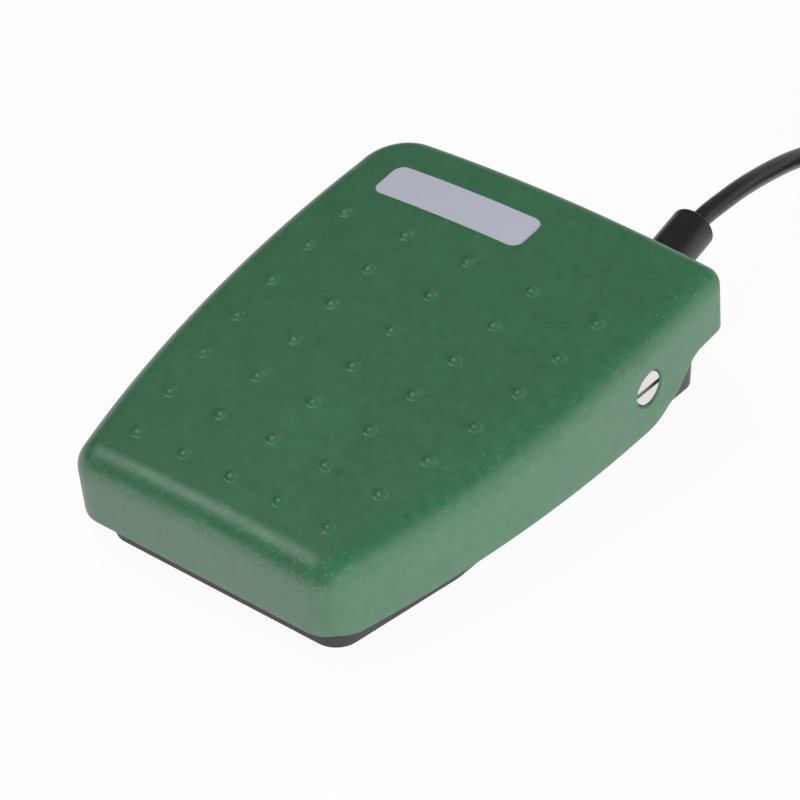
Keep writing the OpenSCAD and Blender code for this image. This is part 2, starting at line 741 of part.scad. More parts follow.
// ---- Actuator ----
lever_y = -act_y + lever_arm;                 // place of the lever's pin
eye_r = lever_pin_d / 2 + run_gap + 0.8;
sw_z = floor_z + sw_lift;
sw_top_z = sw_z + sw_h;
lever_z = sw_top_z + eye_r + 0.3;             // height of the lever's pin over the switch
act_dome_r = 1.5 * act_af;
act_tip_z = lever_z + (eye_r + act_dome_r + part_gap) / cos(lever_tilt) - act_dome_r
    + lever_arm * tan(lever_tilt);
act_nut_z = act_tip_z + act_head_t;
act_face_z = act_nut_z + act_nut_t;
act_boss_r = act_af / sqrt(3) + 1;

module actuator_screw() {
    color([0.75, 0.75, 0.73]) translate([0, -act_y, act_tip_z]) {
        intersection() {
            hex(act_af, act_head_t);
            translate([0, 0, act_dome_r]) sphere(act_dome_r);
        }
        translate([0, 0, act_head_t - 0.5]) cylinder(d = act_d, h = act_top_z - act_nut_z + 0.5);
    }
}

module actuator_locknut() {
    color([0.75, 0.75, 0.73]) translate([0, -act_y, act_nut_z]) difference() {
        hex(act_af, act_nut_t);
        translate([0, 0, -over]) cylinder(d = act_d, h = act_nut_t + 2 * over);
    }
}

// ---- Snap switch ----
sw_x0 = -sw_case_t / 2;
sw_x1 = sw_case_t / 2;
sw_x2 = sw_x1 + sw_cover_t;
sw_y0 = -sw_y - sw_l / 2;
sw_y1 = sw_y0 + sw_l;
sw_holes = [
    [-sw_y - 11.1, sw_z + 13.1],
    [-sw_y + 11.1, bracket_z + bracket_t + m3 / 2 + part_gap]
];
screw_past = 1.5;                             // how far a switch screw stands past the bracket
terminal_z = sw_z + 3;
terminal_y = [-sw_y - 9, -sw_y - 2.25, -sw_y + 4.5];
terminal_w = 4.8;
terminal_t = 0.8;
terminal_l = 6.4;
wired = [0, 2];                               // the terminals that carry a lead
spade_l = 14;
spade_x = sw_x2 + 1.2;

module through_switch(x0, x1, d) {
    for (h = sw_holes) translate([x0, h.x, h.y]) rotate([0, 90, 0]) cylinder(d = d, h = x1 - x0);
}

module switch_bracket() {
    color([0.68, 0.69, 0.7]) difference() {
        union() {
            translate([bracket_x1 - bracket_foot_w, -sw_y - bracket_foot_l / 2, bracket_z])
                cube([bracket_foot_w, bracket_foot_l, bracket_t]);
            translate([bracket_x1 - bracket_t, -sw_y - bracket_foot_l / 2, bracket_z])
                cube([bracket_t, bracket_foot_l, sw_top_z - bracket_z - 0.5]);
        }
        through_switch(bracket_x1 - bracket_t - over, bracket_x1 + over, m3);
        for (y = bracket_hole_y)
            translate([bracket_hole_x, y, bracket_z - over])
                cylinder(d = m4 + 2 * hole_gap, h = bracket_t + 2 * over);
    }
}

// A pan-head screw that points down from the origin
module pan_screw(d, l) {
    difference() {
        intersection() {
            cylinder(d = 2 * d, h = 0.6 * d);
            translate([0, 0, -0.9 * d]) sphere(r = 1.6 * d);
        }
        translate([-d, -0.1 * d, 0.3 * d]) cube([2 * d, 0.2 * d, d]);
    }
    translate([0, 0, -l]) cylinder(d = d, h = l + 0.1);
}

module bracket_screws() {
    color([0.75, 0.75, 0.73]) for (y = bracket_hole_y)
        translate([bracket_hole_x, y, bracket_z + bracket_t])
            pan_screw(m4, bracket_t + bracket_boss_h + 1.2);
}

module switch_screws() {
    color([0.75, 0.75, 0.73]) for (h = sw_holes)
        translate([sw_x2, h.x, h.y]) rotate([0, 90, 0])
            pan_screw(m3, sw_x2 - sw_x0 + bracket_t + screw_past);
}

lug_t = (sw_case_t - lever_w) / 2 - run_gap;
module switch_case() {
    color([0.1, 0.1, 0.11]) difference() {
        union() {
            translate([sw_x0, sw_y0, sw_z]) cube([sw_case_t, sw_l, sw_h]);
            for (x = [sw_x0, sw_x1 - lug_t])
                translate([x, 0, 0]) rotate([90, 0, 90]) linear_extrude(lug_t) {
                translate([lever_y, lever_z]) circle(eye_r);
                polygon([
                    [lever_y + eye_r, lever_z], [lever_y - eye_r, lever_z], [sw_y1 - 4, sw_top_z - 0.5],
                    [sw_y1 - 4, sw_top_z - 5], [sw_y1, sw_top_z - 5]
                ]);
            }
        }
        through_switch(sw_x0 - over, sw_x1 + over, m3 + 2 * hole_gap);
        translate([0, lever_y - button_arm, button_z0 - 1.2])
            cylinder(d = button_d + 2 * run_gap, h = sw_h);
        translate([sw_x0 - over, lever_y, lever_z]) rotate([0, 90, 0])
            cylinder(d = lever_pin_d, h = sw_case_t + 2 * over);
    }
}

module switch_cover() {
    color([0.55, 0.12, 0.1]) difference() {
        translate([sw_x1, sw_y0, sw_z]) cube([sw_cover_t, sw_l, sw_h]);
        through_switch(sw_x1 - over, sw_x2 + over, m3 + 2 * hole_gap);
    }
}

module switch_terminals() {
    color([0.8, 0.7, 0.4]) for (y = terminal_y) difference() {
        translate([sw_x2, y - terminal_w / 2, terminal_z - terminal_t / 2])
            cube([terminal_l, terminal_w, terminal_t]);
        translate([sw_x2 + terminal_l - 2, y, terminal_z - terminal_t])
            cylinder(d = 1.5, h = 2 * terminal_t, $fn = 24);
    }
}

module spade_connectors() {
    color([0.75, 0.2, 0.18]) for (i = wired) translate([spade_x, terminal_y[i], terminal_z]) difference() {
        rotate([90, 0, 90]) rounded_plate(terminal_w + 1.2, 3.2, 1, spade_l);
        translate([-over, -terminal_w / 2 - hole_gap, -terminal_t / 2])
            cube([terminal_l + over, terminal_w + 2 * hole_gap, terminal_t]);
    }
}

module lever_pin() {
    color([0.8, 0.8, 0.8]) translate([sw_x0, lever_y, lever_z]) rotate([0, 90, 0])
        cylinder(d = lever_pin_d, h = sw_case_t);
}

module switch_lever() {
    reach = lever_arm + 5;
    color([0.8, 0.8, 0.8]) translate([0, lever_y, lever_z]) rotate([-lever_tilt, 0, 0]) difference() {
        union() {
            translate([-lever_w / 2, 0, 0]) rotate([0, 90, 0]) cylinder(r = eye_r, h = lever_w);
            translate([-lever_w / 2, -reach, eye_r - lever_t]) cube([lever_w, reach, lever_t]);
        }
        translate([-lever_w, 0, 0]) rotate([0, 90, 0])
            cylinder(d = lever_pin_d + 2 * run_gap, h = 2 * lever_w);
    }
}

button_top_z = lever_z + (eye_r - lever_t) / cos(lever_tilt)
    + (button_arm - button_d / 2) * tan(lever_tilt) - part_gap;
button_z0 = sw_top_z - 4;
module switch_button() {
    color([0.8, 0.75, 0.65]) translate([0, lever_y - button_arm, button_z0]) {
        cylinder(d = button_d, h = button_top_z - button_z0 - 0.4);
        translate([0, 0, button_top_z - button_z0 - 0.4])
            cylinder(d1 = button_d, d2 = button_d - 0.8, h = 0.4);
    }
}

// ---- Cable entry ----
module cable_sleeve() {
    end_round = 0.8;
    color([0.07, 0.07, 0.07]) in_entry() difference() {
        union() {
            along_y(boss_out, sleeve_l - end_round, sleeve_d / 2);
            along_y(sleeve_l - end_round, sleeve_l, sleeve_d / 2 - end_round);
            translate([0, sleeve_l - end_round, 0]) rotate([90, 0, 0]) rotate_extrude()
                translate([sleeve_d / 2 - end_round, 0]) circle(end_round);
            along_y(-boss_in, boss_out, neck_d / 2);
            along_y(-boss_in - flange_t, -boss_in, sleeve_d / 2);
        }
        along_y(-boss_in - flange_t - over, sleeve_l + over, cable_d / 2);
    }
}

module cable_tail() {
    color([0.09, 0.09, 0.09]) in_entry() along_y(tail_s, sleeve_l, cable_d / 2);
}

module clamp_saddle() {
    color([0.68, 0.69, 0.7]) in_entry() difference() {
        union() {
            translate([-clamp_w / 2, clamp_s - clamp_l / 2, clamp_split])
                cube([clamp_w, clamp_l, saddle_h - clamp_split]);
            intersection() {
                along_y(clamp_s - clamp_l / 2, clamp_s + clamp_l / 2, cable_d / 2 + 1.6);
                translate([-clamp_w / 2, clamp_s - clamp_l, clamp_split])
                    cube([clamp_w, 2 * clamp_l, clamp_w]);
            }
        }
        along_y(clamp_s - clamp_l, clamp_s + clamp_l, cable_d / 2);
        for (sx = [-1, 1]) translate([sx * clamp_hole_x, clamp_s, 0])
            cylinder(d = m3 + 2 * hole_gap, h = 2 * saddle_h);
    }
}

module clamp_screws() {
    color([0.75, 0.75, 0.73]) in_entry() for (sx = [-1, 1])
        translate([sx * clamp_hole_x, clamp_s, saddle_h]) pan_screw(m3, saddle_h + 6.5);
}

// ---- Earth ----
tag_t = 0.8;
tag_z = floor_z + earth_boss_h;
tag_l = 10;
tag_wire_z = tag_z + tag_t + core_d / 2;
module earth_tag() {
    color([0.8, 0.7, 0.4]) translate([earth_x, earth_y, tag_z]) difference() {
        union() {
            cylinder(d = 8.5, h = tag_t);
            translate([0, -1.5, 0]) cube([tag_l - 1, 3, tag_t]);
        }
        translate([0, 0, -over]) cylinder(d = m4 + 2 * hole_gap, h = tag_t + 2 * over);
    }
    color([0.8, 0.7, 0.4]) translate([earth_x + tag_l - 5, earth_y, tag_wire_z]) rotate([0, 90, 0])
        cylinder(d = core_d + 0.6, h = 5);
}
module earth_screw() {
    color([0.85, 0.75, 0.4]) translate([earth_x, earth_y, tag_z + tag_t])
        pan_screw(m4, tag_t + earth_boss_h + 0.8);
}

// ---- Leads inside the case, from the sheath's end to the switch and the earth screw ----
spade_end = spade_x + spade_l;
core_x = 1.3;                                 // the three cores stand in a triangle in the sheath
core_up = 1.5;
core_down = -0.75;
function sheath_end(x, z) = [from_entry([x, tail_s - 3, z]), from_entry([x, tail_s, z])];

module lead_brown() {
    color([0.35, 0.18, 0.1]) tube(concat(
        [[spade_end, terminal_y[2], terminal_z], [spade_end + 3, -3, 9], [28, 0, 9], [30, 5, 9],
         [31, 12, 9.2], [31, 20, 9.6], [29.5, 29, 10.4], [27, 38, 11.5]],
        sheath_end(0, core_up)
    ), core_d / 2, 8);
}
module lead_blue() {
    color([0.1, 0.25, 0.6]) tube(concat(
        [[spade_end, terminal_y[0], terminal_z], [spade_end + 4, -16.5, 9], [30, -13, 9], [33, -6, 9],
         [34.5, 3, 9], [34.5, 14, 9.2], [33, 25, 9.6], [30, 35, 10.2]],
        sheath_end(core_x, core_down)
    ), core_d / 2, 8);
}
module lead_earth() {
    color([0.3, 0.6, 0.2]) tube(concat(
        [[earth_x + tag_l, earth_y, tag_wire_z], [earth_x + tag_l + 1.2, earth_y, tag_wire_z],
         [earth_x + tag_l + 3, earth_y + 1.2, tag_wire_z],
         [earth_x + tag_l + 4.6, earth_y + 3.4, tag_wire_z]],
        sheath_end(-core_x, core_down)
    ), core_d / 2, 8);
}

// ---- Free cable ----
cable_route = [
    [20.5, 115, 25.2], [20.4, 120, 25.8], [20.3, 125, 25.9], [20.3, 131, 25.8], [20.2, 138, 25.5],
    [20.1, 146, 24.7], [20, 154, 23.5], [20, 163, 21.9], [20, 172, 19.8], [20, 180, 17.4],
    [20, 187, 14.9], [20, 194, 12], [20, 201, 9.1], [19.9, 208, 6.6], [19.8, 215, 4.8], [19.7, 222, 3.9]
];
coil_at = [60, 222];
coil_rise = coil_rings * coil_pitch;
bundle_w = 2 * coil_pitch + cable_d;
bundle_h = coil_rise + cable_d;
end_z = coil_lift + bundle_h + cable_d / 2 - 0.05;   // the free end lies on top of the coil
end_a0 = 110;
end_a1 = 60;

module cable() {
    color([0.09, 0.09, 0.09]) tube(cable_route, cable_d / 2, 10);
}

module cable_coil() {
    color([0.09, 0.09, 0.09]) translate([coil_at.x, coil_at.y, coil_lift + bundle_h / 2])
        rotate_extrude() translate([coil_r, 0]) {
            square([bundle_w - cable_d, bundle_h], center = true);
            square([bundle_w, bundle_h - cable_d], center = true);
            for (sx = [-1, 1]) for (sy = [-1, 1])
                translate([sx * coil_pitch, sy * coil_rise / 2]) circle(cable_d / 2);
        }
}

module cable_end() {
    color([0.09, 0.09, 0.09]) translate([coil_at.x, coil_at.y, end_z]) rotate([0, 0, end_a1])
        rotate_extrude(angle = end_a0 - end_a1) translate([coil_r, 0]) circle(cable_d / 2);
}

// A core that leaves the sheath's end, spreads and sinks onto the coil. from and to are its
// places at the sheath's end and where it lies, across and up from the sheath's centre
core_turns = [0, 0.5, 6, 12, 18, 24, 30, 36, 42, 48];
core_drop = (core_d - cable_d) / 2;
function swing(t) = (1 - cos(180 * clamp01(t))) / 2;
module end_core(from, to, sink0, sink1) {
    tube([for (turn = core_turns)
        let (
            a = end_a1 - turn,
            r = coil_r + from.x + (to - from.x) * clamp01((turn - 0.5) / 22),
            z = from.y + (core_drop - from.y) * swing((turn - sink0) / (sink1 - sink0))
        )
        [coil_at.x + r * cos(a), coil_at.y + r * sin(a), end_z + z]
    ], core_d / 2, 8);
}
module end_core_brown() { color([0.35, 0.18, 0.1]) end_core([-core_x, core_down], -2.9, 0.5, 30); }
module end_core_blue() { color([0.1, 0.25, 0.6]) end_core([core_x, core_down], 2.9, 0.5, 30); }
module end_core_earth() { color([0.3, 0.6, 0.2]) end_core([0, core_up], 0, 14, 42); }

base_tray();
rubber_mat();
pedal_cover();
label_plate();
pivot_screw_right();
pivot_screw_left();
pivot_nuts();
return_spring_right();
return_spring_left();
stop_bumper();
rest_pads();
actuator_screw();
actuator_locknut();
switch_bracket();
bracket_screws();
switch_case();
switch_cover();
switch_screws();
switch_terminals();
spade_connectors();
lever_pin();
switch_lever();
switch_button();
cable_sleeve();
cable_tail();
clamp_saddle();
clamp_screws();
earth_screw();
earth_tag();
lead_brown();
lead_blue();
lead_earth();
cable();
cable_coil();
cable_end();
end_core_brown();
end_core_blue();
end_core_earth();
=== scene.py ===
"""Industrial foot switch: a painted hood pedal over a low moulded tray, with its springs, snap
switch, sleeve and cable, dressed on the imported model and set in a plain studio."""

import json
import math

import bmesh
import bpy
from bpy.props import (
    FloatProperty,
    FloatVectorProperty,
    IntProperty,
    PointerProperty,
)
from mathutils import Matrix, Vector


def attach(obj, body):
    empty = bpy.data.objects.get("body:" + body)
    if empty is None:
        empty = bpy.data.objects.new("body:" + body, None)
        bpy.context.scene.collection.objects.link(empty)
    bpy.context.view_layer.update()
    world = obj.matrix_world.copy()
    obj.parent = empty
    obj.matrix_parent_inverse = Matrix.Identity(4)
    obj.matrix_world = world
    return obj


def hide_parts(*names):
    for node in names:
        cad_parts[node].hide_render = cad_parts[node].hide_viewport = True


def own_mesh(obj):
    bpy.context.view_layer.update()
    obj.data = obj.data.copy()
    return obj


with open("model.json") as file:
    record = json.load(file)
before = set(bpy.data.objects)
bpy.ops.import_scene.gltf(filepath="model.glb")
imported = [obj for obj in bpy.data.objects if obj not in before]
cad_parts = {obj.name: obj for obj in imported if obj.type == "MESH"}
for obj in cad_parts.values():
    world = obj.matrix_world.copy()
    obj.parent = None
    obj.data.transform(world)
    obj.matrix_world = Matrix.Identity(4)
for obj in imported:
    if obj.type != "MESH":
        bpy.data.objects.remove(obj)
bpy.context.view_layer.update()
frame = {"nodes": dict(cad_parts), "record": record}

bl_info = {
    "name": "Foot Switch",
    "version": (1, 0, 0),
    "blender": (4, 5, 0),
    "location": "View3D > Sidebar > Foot Switch",
    "description": "Builds the hood, tray, cable and studio of an industrial foot switch",
    "category": "Object",
}

MM = 0.001


# ---------------------------------------------------------------- settings


def length(name, description, default, **more):
    """A length in metres."""
    return FloatProperty(
        name=name, description=description, default=default, unit="LENGTH", precision=5, **more
    )


def number(name, description, default):
    """A plain number."""
    return FloatProperty(name=name, description=description, default=default)


def angle(name, description, degrees):
    """An angle, whose default is given in degrees."""
    return FloatProperty(
        name=name, description=description, default=math.radians(degrees), unit="ROTATION"
    )


def colour(name, description, default):
    """A colour, in linear red, green and blue."""
    return FloatVectorProperty(
        name=name, description=description, default=default, subtype="COLOR", size=3, min=0, max=1
    )


class HoodSettings(bpy.types.PropertyGroup):
    """Sizes of the hood pedal, in its own frame: the origin on the pivot, +Y to the heel."""

    pivot_y: length("Pivot, along", "Distance of the pivot behind the base's centre", 0.0344)
    pivot_z: length("Pivot height", "Height of the pivot above the floor", 0.030)
    tilt: angle("Slope", "Slope of the top at rest", 7)
    toe: length("Toe", "Distance from the pivot to the front face", 0.1236)
    heel: length("Heel", "Distance from the pivot to the rear face", 0.0384)
    rise: length("Rise", "Height of the top over the pivot", 0.020)
    width: length("Width", "Twice the reach of the right side", 0.1204)
    left_over: length("Left reach", "How much further the left side stands out", 0.0022)
    side_radius: length("Side radius", "Radius of each long side, from above", 0.440)
    widest: length("Widest place", "Where the hood is widest, behind the pivot", -0.0035)
    front_corner: length("Front corner", "Radius of the front corners, from above", 0.0095)
    rear_corner: length("Left rear corner", "Radius of the left rear corner, from above", 0.0165)
    rear_right: length("Right rear corner", "Radius of the right rear corner, from above", 0.0055)
    flare: length("Flare", "How far the right side swings out at the rear", 0.0022)
    edge: length("Top edge", "Radius of the top edge along the front and sides", 0.008)
    rear_edge: length("Rear top edge", "Radius of the top edge along the rear", 0.005)
    crown: length("Crown radius", "Radius of the crown across the top", 0.568)
    skirt: length("Skirt thickness", "Thickness of the skirt", 0.0032)
    top: length("Top thickness", "Thickness of the top", 0.0035)
    front_skirt: length("Front skirt", "Depth of the skirt at the front", 0.025)
    side_skirt: length("Side skirt", "Depth of the skirt behind the front corner", 0.0276)
    rear_skirt: length("Rear skirt", "Depth of the skirt at the rear", 0.0238)
    lobe: length("Lobe radius", "Radius of the skirt's lobe round the pivot", 0.016)
    scallop: length("Scallop end", "Where the rear flat of the skirt starts", 0.0245)
    lip: length("Lip", "Rounding of the skirt's lower edge", 0.0006)
    bore: length("Pivot hole", "Diameter of the pivot hole", 0.0113)
    chamfer: length("Pivot chamfer", "Chamfer of the pivot hole", 0.0005)


class StudSettings(bpy.types.PropertyGroup):
    """The field of grip studs."""

    rows: IntProperty(name="Rows", description="Rows of studs, front to rear", default=7, min=1)
    columns: IntProperty(name="Columns", description="Studs in a row", default=5, min=1)
    row_pitch: length("Row spacing", "Distance between the rows", 0.0175)
    pitch: length("Column spacing", "Distance between the studs of the middle row", 0.021)
    fan: length("Fan", "Growth of the spacing from one row to the next", 0.00097)
    fan_ease: length("Fan easing", "How much that growth eases off", 0.00015)
    middle: length("Middle row", "Distance of the middle row in front of the pivot", 0.0546)
    diameter: length("Stud diameter", "Width of a stud at the surface", 0.0040)
    height: length("Stud height", "Height of a stud", 0.0012)
    fillet: length("Stud fillet", "Width of the hollow round a stud's foot", 0.0006)


class LabelSettings(bpy.types.PropertyGroup):
    """The recess for the plain label."""

    width: length("Width", "Width across the pedal", 0.0533)
    length: length("Length", "Length along the pedal", 0.0141)
    corner: length("Corner", "Radius of the corners", 0.00355)
    across: length("Across", "Distance of the label's middle from the centre line", -0.0189)
    along: length("Along", "Distance of the label's middle behind the pivot", 0.0171)
    depth: length("Depth", "Depth of the recess", 0.0006)


class SpringSettings(bpy.types.PropertyGroup):
    """The two return springs under the pedal."""

    across: length("Across", "Distance of each spring from the centre line", 0.020)
    along: length("Along", "Place of the springs along the base", -0.045)
    seat: length("Seat", "Height of the springs' lower ends", 0.006)
    length: length("Length", "Length of a spring at rest", 0.0275)
    diameter: length("Diameter", "Outside diameter of a spring", 0.013)
    wire: length("Wire", "Diameter of the wire", 0.0016)
    turns: IntProperty(name="Turns", description="Turns in a spring", default=7, min=3)
    pressed: number("Pressed", "Share of its length that a spring keeps when pressed", 0.805)


class CableSettings(bpy.types.PropertyGroup):
    """The cable and the coil that it is put away in."""

    diameter: length("Diameter", "Diameter of the cable", 0.0061)
    total: length("Length", "Length from the sleeve to the cut end", 2.1)
    core: length("Core diameter", "Diameter of an insulated core", 0.0022)
    centre: FloatVectorProperty(
        name="Coil centre", description="Middle of the coil on the floor", default=(0.060, 0.222),
        size=2, unit="LENGTH"
    )
    radius: length("Coil radius", "Radius to the middle of the turns", 0.034)
    pitch: length("Turn spacing", "Distance between neighbouring turns", 0.0063)
    turns: IntProperty(name="Turns", description="Turns in each ring of the coil", default=3, min=1)
    lift: length("Lift", "Gap under the coil for its tie", 0.0008)
    tie: length("Tie width", "Width of the tie round the coil", 0.009)


class FinishSettings(bpy.types.PropertyGroup):
    """Colours of the finishes."""

    hood: colour("Hood paint", "Green paint of the pedal", (0.024, 0.128, 0.055))
    tray: colour("Tray", "Black of the base tray", (0.022, 0.018, 0.020))
    rubber: colour("Rubber", "Mat, stops and sleeve", (0.014, 0.013, 0.014))
    cable: colour("Cable", "Cable sheath", (0.016, 0.014, 0.016))
    label: colour("Label", "Plain label film", (0.455, 0.465, 0.545))
    nickel: colour("Nickel", "Plated pivot screws", (0.80, 0.77, 0.76))
    zinc: colour("Zinc", "Zinc plated screws", (0.56, 0.57, 0.58))
    steel: colour("Steel", "Springs and sheet parts", (0.42, 0.41, 0.40))
    brass: colour("Brass", "Terminals and earth parts", (0.70, 0.50, 0.20))
    brown: colour("Brown core", "Live core", (0.13, 0.045, 0.018))
    blue: colour("Blue core", "Neutral core", (0.015, 0.09, 0.42))
    green: colour("Green of the earth core", "Earth core, ground colour", (0.03, 0.25, 0.03))
    yellow: colour("Yellow of the earth core", "Earth core, stripe", (0.75, 0.62, 0.03))


class StudioSettings(bpy.types.PropertyGroup):
    """Camera, lamps and floor."""

    eye: FloatVectorProperty(
        name="Camera place", description="Where the camera stands", default=(0.47983, -0.61202, 0.60437),
        size=3, unit="LENGTH", subtype="TRANSLATION"
    )
    azimuth: angle("Azimuth", "Turn of the view about the vertical", 38.18)
    elevation: angle("Elevation", "How far the view looks down", 37.0)
    lens: number("Lens", "Focal length, in millimetres", 154.44)
    over_power: number("Overhead lamp", "Power, in watts", 14.5)
    side_power: number("Side lamp", "Power, in watts", 24)
    front_power: number("Front lamp", "Power, in watts", 4)
    card_power: number("Card", "Power of the mirrored lamp, in watts", 4)
    ambient: number("Ambient", "Strength of the room's light", 0.06)
    sweep: number("Sweep", "Strength of the pale backdrop at the right rear", 0.7)
    white: number("Floor glow", "Share of plain white in the floor's own look", 0.95)


SETTINGS = {
    "hood": HoodSettings,
    "studs": StudSettings,
    "label": LabelSettings,
    "springs": SpringSettings,
    "cable": CableSettings,
    "finish": FinishSettings,
    "studio": StudioSettings,
}


class FootSwitchSettings(bpy.types.PropertyGroup):
    """All sizes and colours."""

    hood: PointerProperty(type=HoodSettings, name="Hood")
    studs: PointerProperty(type=StudSettings, name="Studs")
    label: PointerProperty(type=LabelSettings, name="Label")
    springs: PointerProperty(type=SpringSettings, name="Springs")
    cable: PointerProperty(type=CableSettings, name="Cable")
    finish: PointerProperty(type=FinishSettings, name="Finish")
    studio: PointerProperty(type=StudioSettings, name="Studio")


def settings():
    """The sizes and colours that the scene holds."""
    return bpy.context.scene.foot_switch


# ---------------------------------------------------------------- node trees


class Graph:
    """Adds nodes to a tree, links them and lays them out from left to right."""

    def __init__(self, tree):
        self.tree = tree
        self.column = 0

    def add(self, kind, values=None, **settings_of_node):
        node = self.tree.nodes.new(kind)
        self.column += 1
        node.location = (self.column % 9 * 220, -(self.column // 9) * 320)
        for key, value in settings_of_node.items():
            setattr(node, key, value)
        for key, value in (values or {}).items():
            self.put(node.inputs[key], value)
        return node

    def put(self, socket, value):
        """Links a socket to another one, or sets its own value."""
        if isinstance(value, bpy.types.NodeSocket):
            self.tree.links.new(value, socket)
        elif socket.type == "RGBA" and len(value) == 3:
            socket.default_value = (*value, 1)
        else:
            socket.default_value = value

    def maths(self, operation, a, b=0.0, clamp=False):
        """One sum of two values."""
        node = self.add("ShaderNodeMath", {0: a, 1: b}, operation=operation, use_clamp=clamp)
        return node.outputs[0]

    def blend(self, factor, a, b, mode="MIX"):
        """A mix of two colours."""
        node = self.add("ShaderNodeMix", data_type="RGBA", blend_type=mode)
        self.put(node.inputs[0], factor)
        self.put(node.inputs[6], a)
        self.put(node.inputs[7], b)
        return node.outputs[2]

    def remap(self, value, low, high, to_low=0.0, to_high=1.0):
        """A value moved from one range to another, and held inside it."""
        node = self.add("ShaderNodeMapRange", {0: value, 1: low, 2: high, 3: to_low, 4: to_high})
        return node.outputs[0]

    def noise(self, coordinate, scale, detail=3.0, roughness=0.55, distortion=0.0):
        node = self.add(
            "ShaderNodeTexNoise",
            {
                "Vector": coordinate,
                "Scale": scale,
                "Detail": detail,
                "Roughness": roughness,
                "Distortion": distortion,
            },
        )
        return node.outputs[0]

    def place(self, stretch=(1, 1, 1)):
        """A point of the surface in metres, in the object's own frame."""
        where = self.add("ShaderNodeTexCoord").outputs["Object"]
        if tuple(stretch) == (1, 1, 1):
            return where
        return self.add("ShaderNodeMapping", {"Vector": where, "Scale": stretch}).outputs[0]


def new_group(name, inputs, outputs):
    """An empty node group with the named sockets: (name, kind, default)."""
    group = bpy.data.node_groups.new(name, "ShaderNodeTree")
    kinds = {"value": "NodeSocketFloat", "colour": "NodeSocketColor"}
    for label, kind, default in inputs:
        socket = group.interface.new_socket(name=label, in_out="INPUT", socket_type=kinds[kind])
        socket.default_value = (*default, 1) if kind == "colour" else default
    for label, kind in outputs:
        group.interface.new_socket(name=label, in_out="OUTPUT", socket_type=kinds[kind])
    graph = Graph(group)
    entry = graph.add("NodeGroupInput")
    leave = graph.add("NodeGroupOutput")
    return group, graph, entry.outputs, leave.inputs


def mottle_group():
    """Slow changes of tone over a finish, in colour and roughness."""
    group, g, given, out = new_group(
        "Mottle",
        [
            ("Colour", "colour", (0.5, 0.5, 0.5)),
            ("Amount", "value", 0.1),
            ("Scale", "value", 60.0),
            ("Roughness", "value", 0.5),
            ("Roughness Change", "value", 0.08),
        ],
        [("Colour", "colour"), ("Roughness", "value")],
    )
    slow = g.noise(g.place(), given["Scale"], 4.0, 0.6, 0.4)
    shade = g.maths("MULTIPLY", g.maths("SUBTRACT", slow, 0.5), given["Amount"])
    tone = g.maths("ADD", shade, 1.0)
    grey = g.add("ShaderNodeCombineColor", {0: tone, 1: tone, 2: tone}).outputs[0]
    g.put(out["Colour"], g.blend(1.0, given["Colour"], grey, "MULTIPLY"))
    finer = g.noise(g.place(), g.maths("MULTIPLY", given["Scale"], 3.1), 3.0)
    change = g.maths("MULTIPLY", g.maths("SUBTRACT", finer, 0.5), given["Roughness Change"])
    g.put(out["Roughness"], g.maths("ADD", given["Roughness"], change, clamp=True))
    return group


def grain_group():
    """The fine pebbled skin of a casting or moulding, as a height."""
    group, g, given, out = new_group(
        "Grain",
        [("Scale", "value", 900.0), ("Height", "value", 1.0), ("Soft Share", "value", 0.5)],
        [("Height", "value")],
    )
    fine = g.noise(g.place(), given["Scale"], 2.0, 0.5)
    broad = g.noise(g.place(), g.maths("MULTIPLY", given["Scale"], 0.22), 3.0, 0.55)
    both = g.add("ShaderNodeMix", {0: given["Soft Share"], 2: fine, 3: broad}).outputs[0]
    g.put(out["Height"], g.maths("MULTIPLY", both, given["Height"]))
    return group


def fleck_group():
    """Small pale flecks and faint scuffs where the paint has been touched."""
    group, g, given, out = new_group(
        "Flecks",
        [
            ("Colour", "colour", (0.5, 0.5, 0.5)),
            ("Fleck Colour", "colour", (0.6, 0.65, 0.6)),
            ("Amount", "value", 0.5),
            ("Where", "value", 0.0),
        ],
        [("Colour", "colour"), ("Mask", "value")],
    )
    cells_per_metre, patches_per_metre = 2100.0, 55.0
    dot_core, dot_rim = 0.12, 0.40
    cloud_from, cloud_full = 0.40, 0.66
    anywhere, in_cloud = 0.003, 0.016
    on_edge, on_edge_in_cloud = 0.06, 0.30
    cells = g.add(
        "ShaderNodeTexVoronoi", {"Vector": g.place(), "Scale": cells_per_metre, "Randomness": 1.0},
        feature="F1",
    )
    dot = g.remap(cells.outputs["Distance"], dot_core, dot_rim, 1.0, 0.0)
    pick = g.add("ShaderNodeSeparateColor", {0: cells.outputs["Color"]}).outputs[0]
    patch = g.noise(g.place(), patches_per_metre, 4.0, 0.6)
    cloud = g.remap(patch, cloud_from, cloud_full)
    edge_share = g.maths("ADD", g.maths("MULTIPLY", cloud, on_edge_in_cloud), on_edge)
    rubbed = g.maths("MULTIPLY", given["Where"], edge_share)
    chance = g.maths("ADD", g.maths("MULTIPLY", cloud, in_cloud), rubbed)
    chance = g.maths("ADD", chance, anywhere)
    chosen = g.maths("LESS_THAN", pick, chance)
    mask = g.maths("MULTIPLY", g.maths("MULTIPLY", dot, chosen), given["Amount"], clamp=True)
    g.put(out["Colour"], g.blend(mask, given["Colour"], given["Fleck Colour"]))
    g.put(out["Mask"], mask)
    return group


def brushed_group():
    """Fine parallel lines of a turned, drawn or brushed metal, as a height and a roughness."""
    group, g, given, out = new_group(
        "Brushed",
        [("Roughness", "value", 0.3), ("Change", "value", 0.15), ("Scale", "value", 900.0)],
        [("Roughness", "value"), ("Height", "value")],
    )
    lines = g.noise(g.place((1, 0.04, 1)), given["Scale"], 3.0, 0.6)
    change = g.maths("MULTIPLY", g.maths("SUBTRACT", lines, 0.5), given["Change"])
    g.put(out["Roughness"], g.maths("ADD", given["Roughness"], change, clamp=True))
    g.put(out["Height"], lines)
    return group


